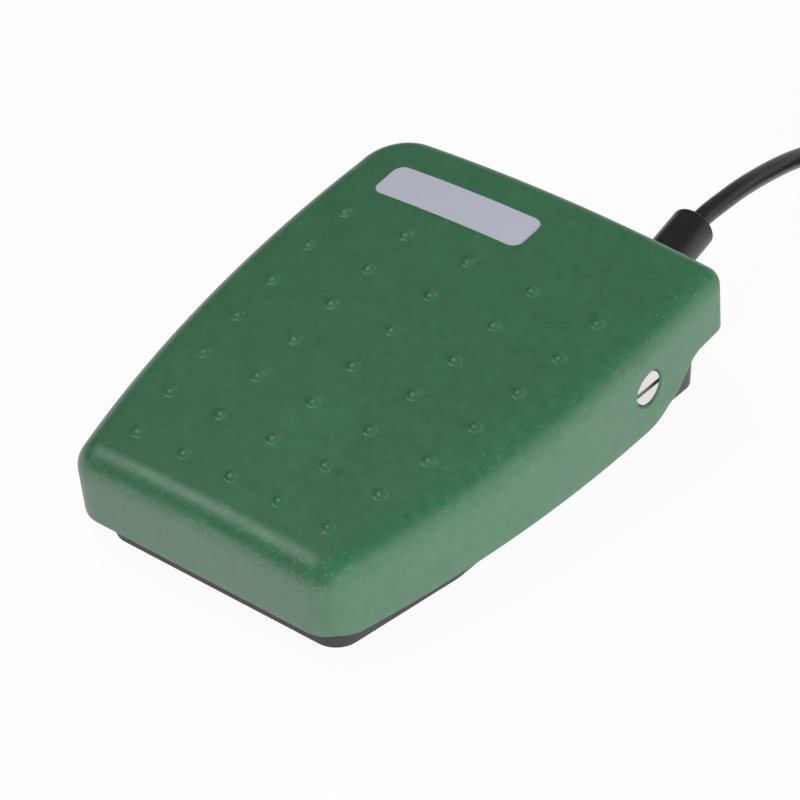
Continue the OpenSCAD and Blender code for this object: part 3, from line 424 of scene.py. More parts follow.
GROUP_MAKERS = {
    "Mottle": mottle_group,
    "Grain": grain_group,
    "Flecks": fleck_group,
    "Brushed": brushed_group,
}


def use_group(graph, name, values):
    """Places a shared group in a material, building it the first time."""
    group = bpy.data.node_groups.get(name) or GROUP_MAKERS[name]()
    node = graph.add("ShaderNodeGroup", node_tree=group)
    for key, value in values.items():
        graph.put(node.inputs[key], value)
    return node.outputs


def new_material(name, constants):
    """A material with one Principled shader. constants are set on its sockets."""
    material = bpy.data.materials.get(name)
    if material:
        return material, None, None
    material = bpy.data.materials.new(name)
    material.use_nodes = True
    tree = material.node_tree
    shader = tree.nodes["Principled BSDF"]
    for key, value in constants.items():
        shader.inputs[key].default_value = (*value, 1) if isinstance(value, tuple) else value
    return material, Graph(tree), shader.inputs


def bump(graph, inputs, height, strength, distance):
    """Feeds a height to the shader's normal."""
    node = graph.add(
        "ShaderNodeBump", {"Height": height, "Strength": strength, "Distance": distance}
    )
    graph.put(inputs["Normal"], node.outputs[0])


# ---------------------------------------------------------------- finishes


def hood_paint():
    """Green stoved paint over a fine casting, with flecks along its rubbed edges."""
    material, g, to = new_material("Hood Paint", {"IOR": 1.95})
    if not g:
        return material
    tone = use_group(
        g, "Mottle",
        {"Colour": settings().finish.hood, "Amount": 0.30, "Scale": 38.0, "Roughness": 0.41,
         "Roughness Change": 0.10},
    )
    speckle = use_group(
        g, "Mottle",
        {"Colour": tone["Colour"], "Amount": 0.75, "Scale": 330.0, "Roughness": tone["Roughness"],
         "Roughness Change": 0.12},
    )
    rubbed = g.add("ShaderNodeAttribute", attribute_name="rubbed").outputs["Fac"]
    flecks = use_group(
        g, "Flecks",
        {"Colour": speckle["Colour"], "Fleck Colour": (0.40, 0.50, 0.43), "Amount": 0.7,
         "Where": rubbed},
    )
    g.put(to["Base Color"], flecks["Colour"])
    g.put(to["Roughness"], speckle["Roughness"])
    grain = use_group(g, "Grain", {"Scale": 950.0, "Height": 1.0, "Soft Share": 0.55})
    bump(g, to, grain["Height"], 0.35, 0.00018)
    return material


def moulded(name, base, roughness, grain_scale=1500.0, grain=0.25, ior=1.55, amount=0.2):
    """A moulded plastic or rubber with a fine matt skin."""
    material, g, to = new_material(name, {"IOR": ior})
    if not g:
        return material
    tone = use_group(
        g, "Mottle",
        {"Colour": base, "Amount": amount, "Scale": 70.0, "Roughness": roughness,
         "Roughness Change": 0.12},
    )
    g.put(to["Base Color"], tone["Colour"])
    g.put(to["Roughness"], tone["Roughness"])
    height = use_group(g, "Grain", {"Scale": grain_scale, "Height": 1.0, "Soft Share": 0.4})
    bump(g, to, height["Height"], grain, 0.0001)
    return material


def metal(name, base, roughness, change=0.12, scale=900.0, lines=0.08):
    """A plated or drawn metal with fine tool lines and slightly uneven tone."""
    material, g, to = new_material(name, {"Metallic": 1.0})
    if not g:
        return material
    tone = use_group(
        g, "Mottle",
        {"Colour": base, "Amount": 0.12, "Scale": 240.0, "Roughness": roughness,
         "Roughness Change": 0.05},
    )
    work = use_group(
        g, "Brushed", {"Roughness": tone["Roughness"], "Change": change, "Scale": scale}
    )
    g.put(to["Base Color"], tone["Colour"])
    g.put(to["Roughness"], work["Roughness"])
    bump(g, to, work["Height"], lines, 0.00005)
    return material


def earth_core():
    """Green core insulation with a yellow stripe wound round it."""
    material, g, to = new_material("Earth Core", {"IOR": 1.5})
    if not g:
        return material
    finish = settings().finish
    where = g.add("ShaderNodeSeparateXYZ", {0: g.place()}).outputs
    wind = g.maths("ADD", g.maths("MULTIPLY", where[2], 700.0), g.maths("MULTIPLY", where[0], 260.0))
    stripe = g.remap(g.maths("SINE", wind), -0.15, 0.15)
    tone = use_group(
        g, "Mottle",
        {"Colour": g.blend(stripe, tuple(finish.green), tuple(finish.yellow)), "Amount": 0.15,
         "Scale": 200.0, "Roughness": 0.4, "Roughness Change": 0.1},
    )
    g.put(to["Base Color"], tone["Colour"])
    g.put(to["Roughness"], tone["Roughness"])
    return material


def finish_for(slot):
    """The material of one of the record's slots."""
    f = settings().finish
    makers = {
        "base_paint": lambda: moulded("Tray Black", f.tray, 0.42, 1100.0, 0.3, 1.6),
        "pedal_paint": hood_paint,
        "mat_rubber": lambda: moulded("Mat Rubber", f.rubber, 0.7, 700.0, 0.6, 1.5),
        "stop_rubber": lambda: moulded("Stop Rubber", f.rubber, 0.65, 900.0, 0.4, 1.5),
        "label_film": lambda: moulded("Label Film", f.label, 0.38, 1600.0, 0.12, 1.5, 0.06),
        "nickel": lambda: metal("Nickel Plate", f.nickel, 0.30, 0.10, 1500.0, 0.10),
        "zinc": lambda: metal("Zinc Plate", f.zinc, 0.34),
        "spring_steel": lambda: metal("Spring Steel", f.steel, 0.32),
        "sheet_steel": lambda: metal("Sheet Steel", f.zinc, 0.38, 0.16),
        "switch_black": lambda: moulded("Switch Black", (0.016, 0.016, 0.018), 0.45),
        "switch_red": lambda: moulded("Switch Red", (0.30, 0.018, 0.012), 0.4),
        "button_ivory": lambda: moulded("Button Ivory", (0.62, 0.52, 0.36), 0.4),
        "brass": lambda: metal("Brass", f.brass, 0.3),
        "connector_red": lambda: moulded("Connector Red", (0.5, 0.03, 0.02), 0.35),
        "sleeve_rubber": lambda: moulded("Sleeve Rubber", f.rubber, 0.36, 1300.0, 0.2, 1.6),
        "cable_black": lambda: moulded("Cable Sheath", f.cable, 0.34, 1500.0, 0.18, 1.6),
        "core_brown": lambda: moulded("Brown Core", f.brown, 0.38),
        "core_blue": lambda: moulded("Blue Core", f.blue, 0.38),
        "core_green_yellow": earth_core,
    }
    return makers[slot]()


def wear(obj, slot):
    """Gives a piece the finish of a slot."""
    obj.data.materials.clear()
    obj.data.materials.append(finish_for(slot))


# ---------------------------------------------------------------- mesh helpers


def piece_from(name, body, points, faces, smooth=30.0):
    """A new mesh piece that rides on a body."""
    mesh = bpy.data.meshes.new(name)
    mesh.from_pydata([tuple(p) for p in points], [], faces)
    mesh.validate()
    obj = bpy.data.objects.new(name, mesh)
    bpy.context.scene.collection.objects.link(obj)
    shade(obj, smooth)
    if body:
        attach(obj, body)
    return obj


def shade(obj, degrees):
    """Smooth shading, with sharp edges where the faces turn by more than some degrees."""
    mesh = obj.data
    mesh.polygons.foreach_set("use_smooth", [True] * len(mesh.polygons))
    mesh.set_sharp_from_angle(angle=math.radians(degrees))
    mesh.update()


def cut(obj, cutter):
    """Cuts a throw-away piece out of another."""
    modifier = obj.modifiers.new("Cut", "BOOLEAN")
    modifier.operation = "DIFFERENCE"
    modifier.solver = "EXACT"
    modifier.object = cutter
    bpy.context.view_layer.update()
    shaped = bpy.data.meshes.new_from_object(
        obj.evaluated_get(bpy.context.evaluated_depsgraph_get())
    )
    obj.modifiers.clear()
    old = obj.data
    obj.data = shaped
    bpy.data.meshes.remove(old)
    spare = cutter.data
    bpy.data.objects.remove(cutter)
    bpy.data.meshes.remove(spare)


def turned(profile, place, segments=64):
    """Points and faces of a profile of (radius, height) turned about +Z, then placed by a matrix."""
    points, faces, rings = [], [], []
    for radius, height in profile:
        if radius < 1e-7:
            rings.append([len(points)])
            points.append(place @ Vector((0, 0, height)))
            continue
        rings.append(list(range(len(points), len(points) + segments)))
        for k in range(segments):
            a = 2 * math.pi * k / segments
            points.append(place @ Vector((radius * math.cos(a), radius * math.sin(a), height)))
    for low, high in zip(rings, rings[1:]):
        for k in range(segments):
            n = (k + 1) % segments
            a, b = low[k % len(low)], low[n % len(low)]
            c, d = high[n % len(high)], high[k % len(high)]
            faces.append([v for i, v in enumerate((a, b, c, d)) if v not in (a, b, c, d)[:i]])
    return points, faces


def rounded_box(left, right, low, high, r):
    """Points with their angle, (x, y, angle), round a rectangle with round corners."""
    outline = []
    for cx, cy, start in (
        (right - r, high - r, 0), (left + r, high - r, 90),
        (left + r, low + r, 180), (right - r, low + r, 270),
    ):
        for k in range(9):
            a = math.radians(start + 90 * k / 8)
            outline.append((cx + r * math.cos(a), cy + r * math.sin(a), a))
    return outline


def placed(part, place):
    """Points and faces, moved by a matrix."""
    points, faces = part
    return [place @ p for p in points], faces


def join_parts(parts):
    """Several (points, faces) as one."""
    points, faces = [], []
    for some_points, some_faces in parts:
        shift = len(points)
        points += some_points
        faces += [[v + shift for v in face] for face in some_faces]
    return points, faces


# ---------------------------------------------------------------- hood


FLARE_START = -0.010  # where the right side starts to swing out, along the hood
SMALL_GAP = 0.00001  # keeps the pivot holes' cutters off the wall's own surface


class HoodForm:
    """The hood's surfaces as functions of a place round its outline."""

    def __init__(self, s, across=26, corner=9, side=50, rear=11):
        self.s = s
        self.across = across
        self.side_x = s.width / 2 - s.side_radius
        right = [self.flared(p) for p in self.side(s.rear_right, corner, side, rear)]
        left = [(-x - s.left_over, y, 180 - a) for x, y, a in self.side(s.rear_corner, corner, side, rear)]
        self.rows = len(right) - 1
        m = across
        x0, x1, x2, x3 = left[0][0], right[0][0], right[-1][0], left[-1][0]
        loop = [(x0 + (x1 - x0) * n / m, -s.toe, -90) for n in range(m)]
        loop += right[:-1]
        loop += [(x2 + (x3 - x2) * n / m, s.heel, 90) for n in range(m)]
        loop += list(reversed(left[1:]))
        self.loop = loop
        self.edge_line = self.skirt_line()

    def side(self, rear_r, corner, side, rear):
        """A long side from the front to the rear, with its own rear corner."""
        s = self.s
        front, front_a = self.corner(-s.toe + s.front_corner, s.front_corner)
        back, back_a = self.corner(s.heel - rear_r, rear_r)
        line = self.arc(front, s.front_corner, -90, front_a, corner)
        line += self.arc((self.side_x, s.widest), s.side_radius, front_a, back_a, side)[1:]
        return line + self.arc(back, rear_r, back_a, 90, rear)[1:]

    def flared(self, place):
        """A point of the right side, swung out towards the rear corner."""
        x, y, a = place
        run = self.s.heel - FLARE_START
        g = min(1.0, max(0.0, (y - FLARE_START) / run))
        lean = math.degrees(math.atan(2 * self.s.flare * g / run))
        return x + self.s.flare * g * g, y, a - lean * (1 - min(1.0, max(0.0, a / 90)))

    def corner(self, y, r):
        """The middle of a corner's arc at y, and the angle at which it meets the long side."""
        reach = self.s.side_radius - r
        x = self.side_x + math.sqrt(reach**2 - (y - self.s.widest) ** 2)
        return (x, y), math.degrees(math.asin((y - self.s.widest) / reach))

    @staticmethod
    def arc(centre, r, start, end, n):
        """Points with their angle in degrees, (x, y, angle), along an arc."""
        line = []
        for i in range(n + 1):
            degrees = start + (end - start) * i / n
            a = math.radians(degrees)
            line.append((centre[0] + r * math.cos(a), centre[1] + r * math.sin(a), degrees))
        return line

    def skirt_line(self):
        """Height of the skirt's lower edge along the hood, as points."""
        s = self.s
        front, side, rear = s.rise - s.front_skirt, s.rise - s.side_skirt, s.rise - s.rear_skirt
        line = [(-1, front), (-s.toe + s.skirt, front), (-s.toe + s.front_corner, side)]
        lobe_start, lobe_end, step = -96, -62, 2
        for degrees in range(lobe_start, lobe_end + step, step):
            a = math.radians(degrees)
            line.append((s.lobe * math.cos(a), s.lobe * math.sin(a)))
        y0, z0 = line[-1]
        steps, first_run, first_rise = 16, 0.12, 0.1
        for k in range(steps + 1):
            t = k / steps
            ease = (1 - math.cos(math.pi * t)) / 2
            y = y0 + (s.scallop - y0) * (first_run + (1 - first_run) * t)
            line.append((y, z0 + (rear - z0) * (first_rise * (1 - ease) + ease)))
        line.append((1, rear))
        return line

    def edge_z(self, y):
        """Height of the skirt's lower edge."""
        for (y0, z0), (y1, z1) in zip(self.edge_line, self.edge_line[1:]):
            if y <= y1:
                return z0 + (z1 - z0) * (y - y0) / max(y1 - y0, 1e-9)
        return self.edge_line[-1][1]

    def top_z(self, x):
        """Height of the crowned top."""
        return self.s.rise - x * x / (2 * self.s.crown)

    def edge_r(self, y):
        """Radius of the top edge, which eases to its smaller value at the rear."""
        s = self.s
        share = min(1, max(0, (s.heel - y) / s.rear_corner))
        return s.rear_edge + (s.edge - s.rear_edge) * share

    def rounded(self, place, turn, inset, drop):
        """A point of the top edge, from 0 degrees on the wall to 90 on the top."""
        x, y, a = place
        r = max(self.edge_r(y) - inset, 0.001)
        t = math.radians(turn)
        o = inset + r * (1 - math.cos(t))
        x -= o * math.cos(math.radians(a))
        y -= o * math.sin(math.radians(a))
        return Vector((x, y, self.top_z(x) - drop - r * (1 - math.sin(t))))

    def ring(self, kind, share, inset, drop=0.0):
        """A ring of points: kind is lip, wall or edge, and share runs from 0 to 1 along it."""
        points = []
        lip = self.s.lip
        for place in self.loop:
            x, y, a = place
            low = self.edge_z(y)
            if kind == "edge":
                points.append(self.rounded(place, 90 * share, inset, drop))
                continue
            top = self.rounded(place, 0, inset, drop)
            if kind == "wall":
                z = low + lip + (top.z - low - lip) * share
                points.append(Vector((top.x, top.y, z)))
                continue
            t = math.radians(90 * share)
            turned_in = lip * (1 - math.sin(t))
            off = turned_in if inset == 0 else inset - turned_in
            px = x - off * math.cos(math.radians(a))
            py = y - off * math.sin(math.radians(a))
            points.append(Vector((px, py, low + lip * (1 - math.cos(t)))))
        return points

    def lid(self, last, drop):
        """Inner points of the top and its faces, for the ring of points last."""
        m, rows, around = self.across, self.rows, len(self.loop)

        def rim(i, j):
            if j == 0:
                return i
            if i == m:
                return m + j
            if j == rows:
                return m + rows + (m - i)
            return 2 * m + rows + (rows - j) if i == 0 else None

        inner = []
        for j in range(1, rows):
            left, right = last[rim(0, j) % around], last[rim(m, j)]
            for i in range(1, m):
                q = left.lerp(right, i / m)
                inner.append(Vector((q.x, q.y, self.top_z(q.x) - drop)))

        def at(i, j):
            e = rim(i, j)
            return e % around if e is not None else around + (j - 1) * (m - 1) + i - 1

        faces = [
            [at(i, j), at(i + 1, j), at(i + 1, j + 1), at(i, j + 1)]
            for j in range(rows)
            for i in range(m)
        ]
        return inner, faces


def hood_shell(form):
    """Points and faces of the closed shell, from the inner top round the lip to the outer top."""
    s = form.s
    rings = [form.ring("edge", k / 4, s.skirt, s.top) for k in (4, 3, 2, 1, 0)]
    rings += [form.ring("wall", k, s.skirt, s.top) for k in (0.6, 0.0)]
    rings += [form.ring("lip", k / 3, s.skirt) for k in (2, 1, 0)]
    rings += [form.ring("lip", k / 3, 0.0) for k in (0, 1, 2)]
    rings += [form.ring("wall", k / 8, 0.0) for k in range(9)]
    rings += [form.ring("edge", k / 12, 0.0) for k in range(1, 13)]
    around = len(form.loop)
    points = [p for ring in rings for p in ring]
    faces = []
    for k in range(len(rings) - 1):
        for n in range(around):
            a, b = k * around + n, k * around + (n + 1) % around
            faces.append([a, b, b + around, a + around])
    for first, drop, flip in ((0, s.top, True), (len(rings) - 1, 0.0, False)):
        inner, lid_faces = form.lid(rings[first], drop)
        shift = len(points)
        points += inner
        for face in lid_faces:
            moved = [v + first * around if v < around else v - around + shift for v in face]
            faces.append(moved[::-1] if flip else moved)
    return points, faces


def stud_parts(form, s):
    """The grip studs as domes with a small hollow at the foot, laid on the crown."""
    r = s.diameter / 2
    ball = (s.height**2 + r**2) / (2 * s.height)
    inner_share, outer_share, sunk = 0.3, 1.2, 0.00008
    foot = r - s.fillet * inner_share
    profile = []
    for k in range(9):
        a = math.asin(foot / ball) * k / 8
        profile.append((ball * math.sin(a), ball * math.cos(a) - ball + s.height))
    low = profile[-1][1]
    for k in range(1, 6):
        t = k / 5
        profile.append((foot + s.fillet * t, low * (1 - t) ** 2))
    profile.append((foot + s.fillet * outer_share, -sunk))
    parts = []
    for row in range(s.rows):
        r_index = row - (s.rows - 1) / 2
        pitch = s.pitch + s.fan * r_index - s.fan_ease * r_index**2
        for column in range(s.columns):
            x = (column - (s.columns - 1) / 2) * pitch
            y = r_index * s.row_pitch - s.middle
            points, faces = turned(profile[::-1], Matrix.Translation((x, y, 0)), 28)
            for p in points:
                p.z += form.top_z(p.x)
            parts.append((points, faces))
    return parts


def hood_place(s):
    """The matrix from the hood's own frame to the part's."""
    return Matrix.Translation((0, s.pivot_y, s.pivot_z)) @ Matrix.Rotation(s.tilt, 4, "X")


def recess_cutter(form, s, place):
    """A plate with round corners whose underside follows the crown."""
    w, l = s.width / 2, s.length / 2
    strips, clearance = 24, 0.004
    mesh = bmesh.new()
    face = mesh.faces.new([
        mesh.verts.new((s.across + x, s.along + y, 0)) for x, y, _ in rounded_box(-w, w, -l, l, s.corner)
    ])
    grown = bmesh.ops.extrude_face_region(mesh, geom=[face])
    top = [v for v in grown["geom"] if isinstance(v, bmesh.types.BMVert)]
    for v in top:
        v.co.z = 1.0
    for k in range(1, strips):
        x = s.across - w + 2 * w * k / strips
        bmesh.ops.bisect_plane(
            mesh, geom=mesh.verts[:] + mesh.edges[:] + mesh.faces[:], plane_co=(x, 0, 0),
            plane_no=(1, 0, 0)
        )
    for v in mesh.verts:
        v.co.z = form.s.rise + clearance if v.co.z > 0.5 else form.top_z(v.co.x) - s.depth
    bmesh.ops.recalc_face_normals(mesh, faces=mesh.faces[:])
    data = bpy.data.meshes.new("recess")
    mesh.transform(place)
    mesh.to_mesh(data)
    mesh.free()
    obj = bpy.data.objects.new("recess", data)
    bpy.context.scene.collection.objects.link(obj)
    return obj


def pivot_axis(s, side, reach):
    """A matrix on the pivot's axis, whose +Z points out of the right (1) or left (-1) side."""
    turn = Matrix.Rotation(math.radians(90), 4, "Y")
    axis = Matrix.Translation((side * reach, s.pivot_y, s.pivot_z)) @ turn
    return axis if side > 0 else axis @ Matrix.Rotation(math.pi, 4, "X")


def block(low, high):
    """Points and faces of a box between two corners."""
    x0, y0, z0 = low
    x1, y1, z1 = high
    points = [Vector((x, y, z)) for z in (z0, z1) for y in (y0, y1) for x in (x0, x1)]
    faces = [[0, 2, 3, 1], [4, 5, 7, 6], [0, 1, 5, 4], [2, 6, 7, 3], [0, 4, 6, 2], [1, 3, 7, 5]]
    return points, faces


class FOOTSWITCH_OT_hood(bpy.types.Operator):
    """Builds the painted hood pedal with its studs, label recess and pivot holes"""

    bl_idname = "footswitch.hood"
    bl_label = "Hood Pedal"

    def execute(self, context):
        s = settings().hood
        form = HoodForm(s)
        place = hood_place(s)
        hood = piece_from("hood", None, *placed(hood_shell(form), place), 40)
        for side in (1, -1):
            cut(hood, self.bore(s, side))
        cut(hood, recess_cutter(form, settings().label, place))
        studs = [placed(stud, place) for stud in stud_parts(form, settings().studs)]
        extra = join_parts([self.inside(s, place)] + studs)
        details = piece_from("hood_details", None, *extra, 40)
        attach(hood, "pedal")
        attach(details, "pedal")
        self.mark_rubbed(hood, form, place)
        self.mark_rubbed(details, form, place)
        shade(hood, 32)
        wear(hood, "pedal_paint")
        wear(details, "pedal_paint")
        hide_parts("pedal_cover")
        return {"FINISHED"}

    @staticmethod
    def bore(s, side):
        """The cutter of one pivot hole, with its chamfer."""
        wall = s.width / 2 - SMALL_GAP + (s.left_over if side < 0 else 0)
        r, spread = s.bore / 2, 0.003
        low, high = -0.010, 0.0025
        profile = [
            (0, low), (r, low), (r, -s.chamfer), (r + s.chamfer, 0), (r + spread, high), (0, high),
        ]
        return piece_from("bore", None, *turned(profile, pivot_axis(s, side, wall), 72))

    @staticmethod
    def ribs(s):
        """Two long ribs and two across them, hanging from the underside of the top."""
        under = s.rise - s.top
        half, depth = 0.00125, 0.005
        front, rear = -s.toe + 0.016, s.heel - 0.010
        reach, crown_drop = 0.044, 0.0012
        made = []
        for x in (-0.030, 0.030):
            made.append(block((x - half, front, under - depth), (x + half, rear, under)))
        for y in (-0.064, -0.030):
            low, high = (-reach, y - half, under - depth), (reach, y + half, under - crown_drop)
            made.append(block(low, high))
        return made

    @staticmethod
    def boss(s, x, y, low, radius):
        """An upright boss from a height up into the top, at a place of the base."""
        rim, sunk = 0.0003, 0.001
        top = s.pivot_z + (s.rise - s.top) / math.cos(s.tilt) + (y - s.pivot_y) * math.tan(s.tilt)
        top += sunk - x * x / (2 * s.crown)
        profile = [(0, low), (radius - rim, low), (radius, low + rim), (radius, top), (0, top)]
        return turned(profile, Matrix.Translation((x, y, 0)), 40)

    @staticmethod
    def pivot_boss(s, side):
        """The thick ring round a pivot hole, inside the skirt."""
        start, depth, wall = 0.0542, 0.0045, 0.003
        r, outer = s.bore / 2, s.bore / 2 + wall
        deep = depth + (s.left_over if side < 0 else 0)
        profile = [(r, deep), (r, 0.0), (outer, 0.0), (outer, deep), (r, deep)]
        return turned(profile, pivot_axis(s, side, start), 56)

    def inside(self, s, place):
        """Ribs and bosses cast under the top: for the springs, the stop, the actuator, the pivots."""
        springs = settings().springs
        parts = [placed(rib, place) for rib in self.ribs(s)]
        for x in (-springs.across, springs.across):
            parts.append(self.boss(s, x, springs.along, 0.0335, 0.0075))
            parts.append(self.boss(s, x, springs.along, 0.0295, 0.0045))
        parts.append(self.boss(s, 0, -0.066, 0.02024, 0.005))
        parts.append(self.boss(s, 0, -0.017, 0.0361, 0.0056))
        parts += [self.pivot_boss(s, side) for side in (1, -1)]
        return join_parts(parts)

    @staticmethod
    def mark_rubbed(obj, form, place):
        """Marks how rubbed each point is: most along the front edge, less along the others."""
        back = place.inverted()
        s = form.s
        band, half_band = s.rise - 0.005, 0.006
        front_reach, side_reach, side_share = 0.014, 0.016, 0.35
        values = []
        for v in obj.data.vertices:
            p = back @ v.co
            high = max(0.0, 1 - abs(p.z - band) / half_band)
            front = max(0.0, 1 - (p.y + s.toe) / front_reach)
            side = max(0.0, 1 - (s.width / 2 - abs(p.x)) / side_reach)
            values.append(min(1.0, high * (front + side_share * side)))
        attribute = obj.data.attributes.new("rubbed", "FLOAT", "POINT")
        attribute.data.foreach_set("value", values)


# ---------------------------------------------------------------- tray and hardware


class FOOTSWITCH_OT_hardware(bpy.types.Operator):
    """Gives every remaining solid its finish"""

    bl_idname = "footswitch.hardware"
    bl_label = "Tray and Hardware"

    def execute(self, context):
        slots = {p["node"]: p["material_slot"] for p in frame["record"]["subparts"]}
        for name, obj in frame["nodes"].items():
            obj.data.materials.clear()
            obj.data.materials.append(finish_for(slots[name]))
        return {"FINISHED"}


def spring_mesh(s, side):
    """A coil spring with closed end turns, as points and faces."""
    steps, sides = 24, 10
    last = s.turns * steps
    rise = s.length - s.wire
    dead = s.wire / rise
    radius = (s.diameter - s.wire) / 2
    points, faces = [], []
    for k in range(last + 1):
        t = k / steps
        lift = dead + (1 - 2 * dead) * (t - 1) / (s.turns - 2)
        if t < 1:
            lift = dead * t
        elif t > s.turns - 1:
            lift = 1 - dead * (s.turns - t)
        a = 2 * math.pi * t
        for n in range(sides):
            b = 2 * math.pi * n / sides
            r = radius + s.wire / 2 * math.cos(b)
            z = s.seat + s.wire / 2 + rise * lift + s.wire / 2 * math.sin(b)
            points.append(Vector((side * s.across + r * math.cos(a), s.along + r * math.sin(a), z)))
    for k in range(last):
        for n in range(sides):
            p, q = k * sides + n, k * sides + (n + 1) % sides
            faces.append([q, p, p + sides, q + sides])
    faces.append(list(range(sides)))
    faces.append(list(range(last * sides, (last + 1) * sides))[::-1])
    return points, faces


class FOOTSWITCH_OT_springs(bpy.types.Operator):
    """Builds the two return springs under the pedal"""

    bl_idname = "footswitch.springs"
    bl_label = "Return Springs"

    def execute(self, context):
        s = settings().springs
        for name, side in (("right", 1), ("left", -1)):
            spring = piece_from("spring_" + name, "base", *spring_mesh(s, side), 60)
            wear(spring, "spring_steel")
            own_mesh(spring)
            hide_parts("return_spring_" + name)
        return {"FINISHED"}


# ---------------------------------------------------------------- cable


ROUTE = [
    (20.5, 115, 25.2), (20.4, 120, 25.8), (20.3, 125, 25.9), (20.3, 131, 25.8), (20.2, 138, 25.5),
    (20.1, 146, 24.7), (20, 154, 23.5), (20, 163, 21.9), (20, 172, 19.8), (20, 180, 17.4),
    (20, 187, 14.9), (20, 194, 12), (20, 201, 9.1), (19.9, 208, 6.6), (19.8, 215, 4.8),
]


def coil_points(s):
    """The coil's turns: up the outer ring, down the middle one, up the inner one, then on top."""
    r, p, d = s.radius, s.pitch, s.diameter
    low = s.lift + d / 2
    high = low + s.turns * p
    step = 20
    points = []

    def put(angle, radius, z):
        points.append(
            Vector((s.centre[0] + radius * math.cos(angle), s.centre[1] + radius * math.sin(angle), z))
        )

    def ease(t):
        return (1 - math.cos(math.pi * min(1, max(0, t)))) / 2

    def turned_by(steps):
        return math.pi - 2 * math.pi * steps / step

    count = s.turns * step
    shift = step // 6
    rings = [(r + p, r, low, high), (r, r - p, high, low), (r - p, r - p, low, high)]
    k = 0
    for radius, after, start, end in rings:
        for i in range(count):
            rise = min(1.0, i / (count - shift))
            move = ease((i - (count - shift)) / shift)
            put(turned_by(k), radius + (after - radius) * move, start + (end - start) * rise)
            k += 1
    end_z = s.lift + s.turns * p + 1.5 * d
    for i in range(11):
        climb = ease(i / 6)
        put(turned_by(k + i * 2 / 3), r - p + p * climb, high + (end_z - high) * climb)
    return points


def tube(name, points, radius):
    """A round tube of the base along points, as one open spline with smooth handles."""
    data = bpy.data.curves.new(name, "CURVE")
    data.dimensions = "3D"
    data.bevel_depth = 1.0
    data.bevel_resolution = 6
    data.use_fill_caps = True
    data.resolution_u = 6
    spline = data.splines.new("BEZIER")
    spline.bezier_points.add(len(points) - 1)
    for knot, p in zip(spline.bezier_points, points):
        knot.co = p
        knot.radius = radius
        knot.handle_left_type = knot.handle_right_type = "AUTO"
    obj = bpy.data.objects.new(name, data)
    bpy.context.scene.collection.objects.link(obj)
    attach(obj, "base")
    return obj


# Each core: its name, its place in the cut end (out, up), how far out it spreads, over which degrees
# it sinks, and its slot.
CORES = [
    ("core_brown_end", (-0.0013, -0.00075), -0.0029, (0.5, 30), "core_brown"),
    ("core_blue_end", (0.0013, -0.00075), 0.0029, (0.5, 30), "core_blue"),
    ("core_earth_end", (0.0, 0.0015), 0.0, (14, 42), "core_green_yellow"),
]


class FOOTSWITCH_OT_cable(bpy.types.Operator):
    """Builds the cable, its coil with the tie, and the stripped cores at its free end"""

    bl_idname = "footswitch.cable"
    bl_label = "Cable"

    def execute(self, context):
        s = settings().cable
        route = [Vector(p) * MM for p in ROUTE] + coil_points(s)
        cable = tube("cable_run", route, s.diameter / 2)
        wear(cable, "cable_black")
        cores = self.cores(s, route)
        tie = self.tie(s)
        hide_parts("cable", "cable_coil", "cable_end")
        return {"FINISHED"}

    @staticmethod
    def cores(s, route):
        """The three cores leave the sheath in a triangle, spread and sink onto the coil."""
        drop = (s.core - s.diameter) / 2
        cut_at, straight, spread_over = 60, 0.5, 22
        made = []
        for name, (out, up), across, (first, last), slot in CORES:
            points = []
            for turn in (0, 2, 6, 12, 18, 24, 30, 36, 42, 48):
                a = math.radians(cut_at - turn)
                share = min(1, max(0, (turn - straight) / spread_over))
                sunk = min(1, max(0, (turn - first) / (last - first)))
                r = s.radius + out + (across - out) * share
                z = route[-1].z + up + (drop - up) * (1 - math.cos(math.pi * sunk)) / 2
                points.append(Vector((s.centre[0] + r * math.cos(a), s.centre[1] + r * math.sin(a), z)))
            core = tube(name, points, s.core / 2)
            wear(core, slot)
            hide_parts("end_" + name[:-4])
            made.append(core)
        return made

    @staticmethod
    def tie(s):
        """A flat strap drawn round the bundle of turns."""
        beside, over, corner, thick, lowest = 0.0005, 0.0006, 0.0032, 0.0005, 0.0001
        half_w = s.pitch + s.diameter / 2 + beside
        high = s.lift + s.turns * s.pitch + s.diameter + over
        outline = rounded_box(-half_w, half_w, s.lift - over, high, corner)
        where = math.radians(-75)
        outwards = Vector((math.cos(where), math.sin(where), 0))
        along = Vector((-math.sin(where), math.cos(where), 0))
        centre = Vector((*s.centre, 0))
        points, faces = [], []
        for across in (-s.tie / 2, s.tie / 2):
            for off in (0.0, thick):
                for r, z, a in outline:
                    p = centre + outwards * (s.radius + r + off * math.cos(a)) + along * across
                    p.z = max(z + off * math.sin(a), lowest)
                    points.append(p)
        n = len(outline)
        for k in range(n):
            m = (k + 1) % n
            faces.append([k, m, n + m, n + k])
            faces.append([2 * n + m, 2 * n + k, 3 * n + k, 3 * n + m])
            faces.append([n + k, n + m, 3 * n + m, 3 * n + k])
            faces.append([m, k, 2 * n + k, 2 * n + m])
        strap = piece_from("coil_tie", "base", points, faces, 40)
        wear(strap, "cable_black")
        return strap


# ---------------------------------------------------------------- studio


def lamp(name, power, size, place, target, mirrored=False):
    """A rectangular soft lamp. Glossy surfaces mirror it only where mirrored is true."""
    data = bpy.data.lights.new(name, "AREA")
    data.shape = "RECTANGLE"
    data.size, data.size_y = size
    data.energy = power
    obj = bpy.data.objects.new(name, data)
    obj.visible_glossy = mirrored
    obj.location = place
    obj.rotation_euler = (Vector(target) - Vector(place)).to_track_quat("-Z", "Y").to_euler()
    bpy.context.scene.collection.objects.link(obj)


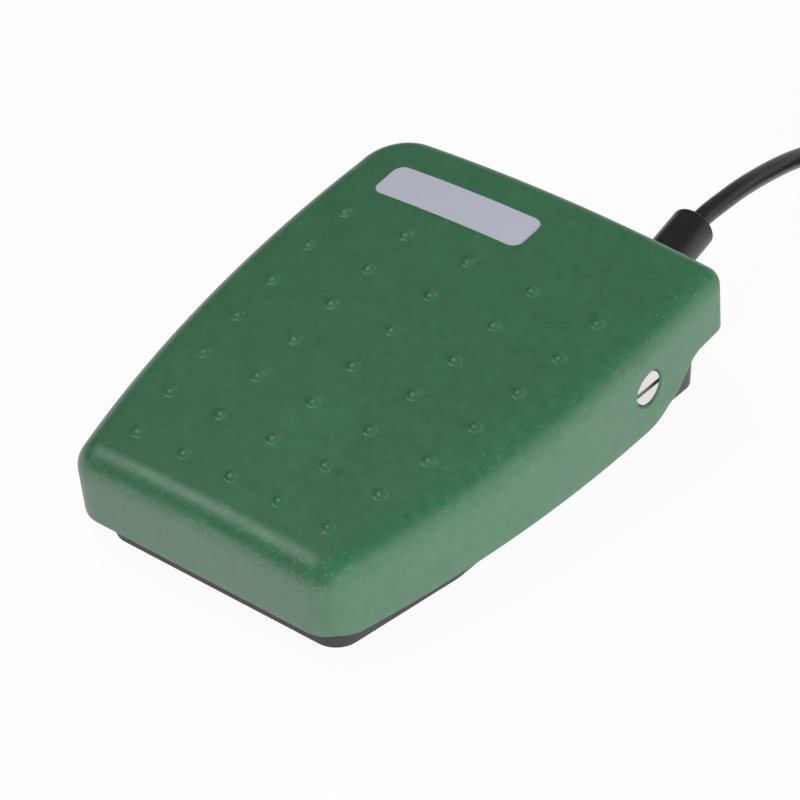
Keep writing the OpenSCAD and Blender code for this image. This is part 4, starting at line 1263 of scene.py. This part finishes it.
def seen_directly(graph):
    """1 for rays from the camera, a mirror or a glass, and 0 for light that spreads."""
    rays = graph.add("ShaderNodeLightPath").outputs
    seen = graph.maths("ADD", rays["Is Camera Ray"], rays["Is Glossy Ray"])
    return graph.maths("ADD", seen, rays["Is Transmission Ray"], clamp=True)


class FOOTSWITCH_OT_studio(bpy.types.Operator):
    """Sets the camera, the pale floor, the lamps and the room's light"""

    bl_idname = "footswitch.studio"
    bl_label = "Studio"

    def execute(self, context):
        s = settings().studio
        scene = context.scene
        scene.view_settings.view_transform = "Standard"
        data = bpy.data.cameras.new("Camera")
        data.sensor_width = 36
        data.lens = s.lens
        data.clip_start = 0.01
        data.clip_end = 100
        camera = bpy.data.objects.new("Camera", data)
        camera.location = s.eye
        camera.rotation_euler = (math.pi / 2 - s.elevation, 0, s.azimuth)
        scene.collection.objects.link(camera)
        scene.camera = camera
        self.floor(s)
        self.room(scene, s)
        middle = (0, 0, 0.03)
        lamp("Overhead", s.over_power, (1.7, 1.5), (-0.30, -0.30, 1.40), middle)
        lamp("Side", s.side_power, (1.5, 0.8), (1.55, -0.40, 0.50), middle)
        lamp("Front", s.front_power, (1.2, 0.7), (-0.5, -1.6, 0.7), middle)
        lamp("Card", s.card_power, (0.9, 0.8), (-0.72, -0.32, 1.28), middle, mirrored=True)
        return {"FINISHED"}

    @staticmethod
    def floor(s):
        """A wide pale floor, which seen directly is nearly plain white."""
        reach, height = 4.0, -0.0001
        corners = ((-reach, -reach), (reach, -reach), (reach, reach), (-reach, reach))
        points = [Vector((x, y, height)) for x, y in corners]
        floor = piece_from("studio_floor", None, points, [[0, 1, 2, 3]])
        material = bpy.data.materials.new("Studio Floor")
        material.use_nodes = True
        g = Graph(material.node_tree)
        shader = material.node_tree.nodes["Principled BSDF"]
        shader.inputs["Base Color"].default_value = (0.86, 0.86, 0.86, 1)
        shader.inputs["Roughness"].default_value = 0.9
        shader.inputs["Specular IOR Level"].default_value = 0.1
        glow = g.add("ShaderNodeEmission", {"Color": (1, 1, 1), "Strength": 1.0}).outputs[0]
        share = g.maths("MULTIPLY", seen_directly(g), s.white)
        mix = g.add("ShaderNodeMixShader", {0: share, 1: shader.outputs[0], 2: glow}).outputs[0]
        g.put(material.node_tree.nodes["Material Output"].inputs[0], mix)
        floor.data.materials.append(material)

    @staticmethod
    def room(scene, s):
        """White for the camera. All other rays meet a dim room, pale low down at the right rear."""
        world = scene.world or bpy.data.worlds.new("Room")
        scene.world = world
        world.use_nodes = True
        g = Graph(world.node_tree)
        back = world.node_tree.nodes["Background"]
        back.inputs[0].default_value = (1, 1, 1, 1)
        toward = g.add("ShaderNodeSeparateXYZ", {0: g.add("ShaderNodeTexCoord").outputs["Generated"]})
        x, y, z = toward.outputs
        side_share, rear_share, full_from = 0.6, 0.8, 0.5
        sideways, rearwards = g.maths("MULTIPLY", x, side_share), g.maths("MULTIPLY", y, rear_share)
        behind = g.remap(g.maths("ADD", sideways, rearwards), 0.0, full_from)
        fade_from, fade_to = 0.28, 0.55
        sweep = g.maths("MULTIPLY", behind, g.remap(z, fade_from, fade_to, s.sweep, 0.0))
        rays = g.add("ShaderNodeLightPath").outputs
        room = g.maths("ADD", sweep, s.ambient)
        strength = g.add("ShaderNodeMix", {0: rays["Is Camera Ray"], 2: room, 3: 1.0}).outputs[0]
        g.put(back.inputs[1], strength)


# ---------------------------------------------------------------- add-on


class FOOTSWITCH_PT_panel(bpy.types.Panel):
    """Lists the steps that build the foot switch"""

    bl_idname = "FOOTSWITCH_PT_panel"
    bl_label = "Foot Switch"
    bl_space_type = "VIEW_3D"
    bl_region_type = "UI"
    bl_category = "Foot Switch"

    def draw(self, context):
        for step in STEPS:
            self.layout.operator(step.bl_idname)
        for name in SETTINGS:
            box = self.layout.box()
            box.label(text=name.capitalize())
            group = getattr(context.scene.foot_switch, name)
            for key in group.bl_rna.properties.keys():
                if key not in ("rna_type", "name"):
                    box.prop(group, key)


STEPS = [
    FOOTSWITCH_OT_studio,
    FOOTSWITCH_OT_hardware,
    FOOTSWITCH_OT_cable,
    FOOTSWITCH_OT_hood,
    FOOTSWITCH_OT_springs,
]
CLASSES = [*SETTINGS.values(), FootSwitchSettings, *STEPS, FOOTSWITCH_PT_panel]


def register():
    for cls in CLASSES:
        bpy.utils.register_class(cls)
    bpy.types.Scene.foot_switch = PointerProperty(type=FootSwitchSettings)


def unregister():
    del bpy.types.Scene.foot_switch
    for cls in reversed(CLASSES):
        bpy.utils.unregister_class(cls)


def main():
    register()
    bpy.ops.footswitch.studio()
    bpy.ops.footswitch.hardware()
    bpy.ops.footswitch.cable()
    bpy.ops.footswitch.hood()
    bpy.ops.footswitch.springs()


if __name__ == "__main__":
    main()
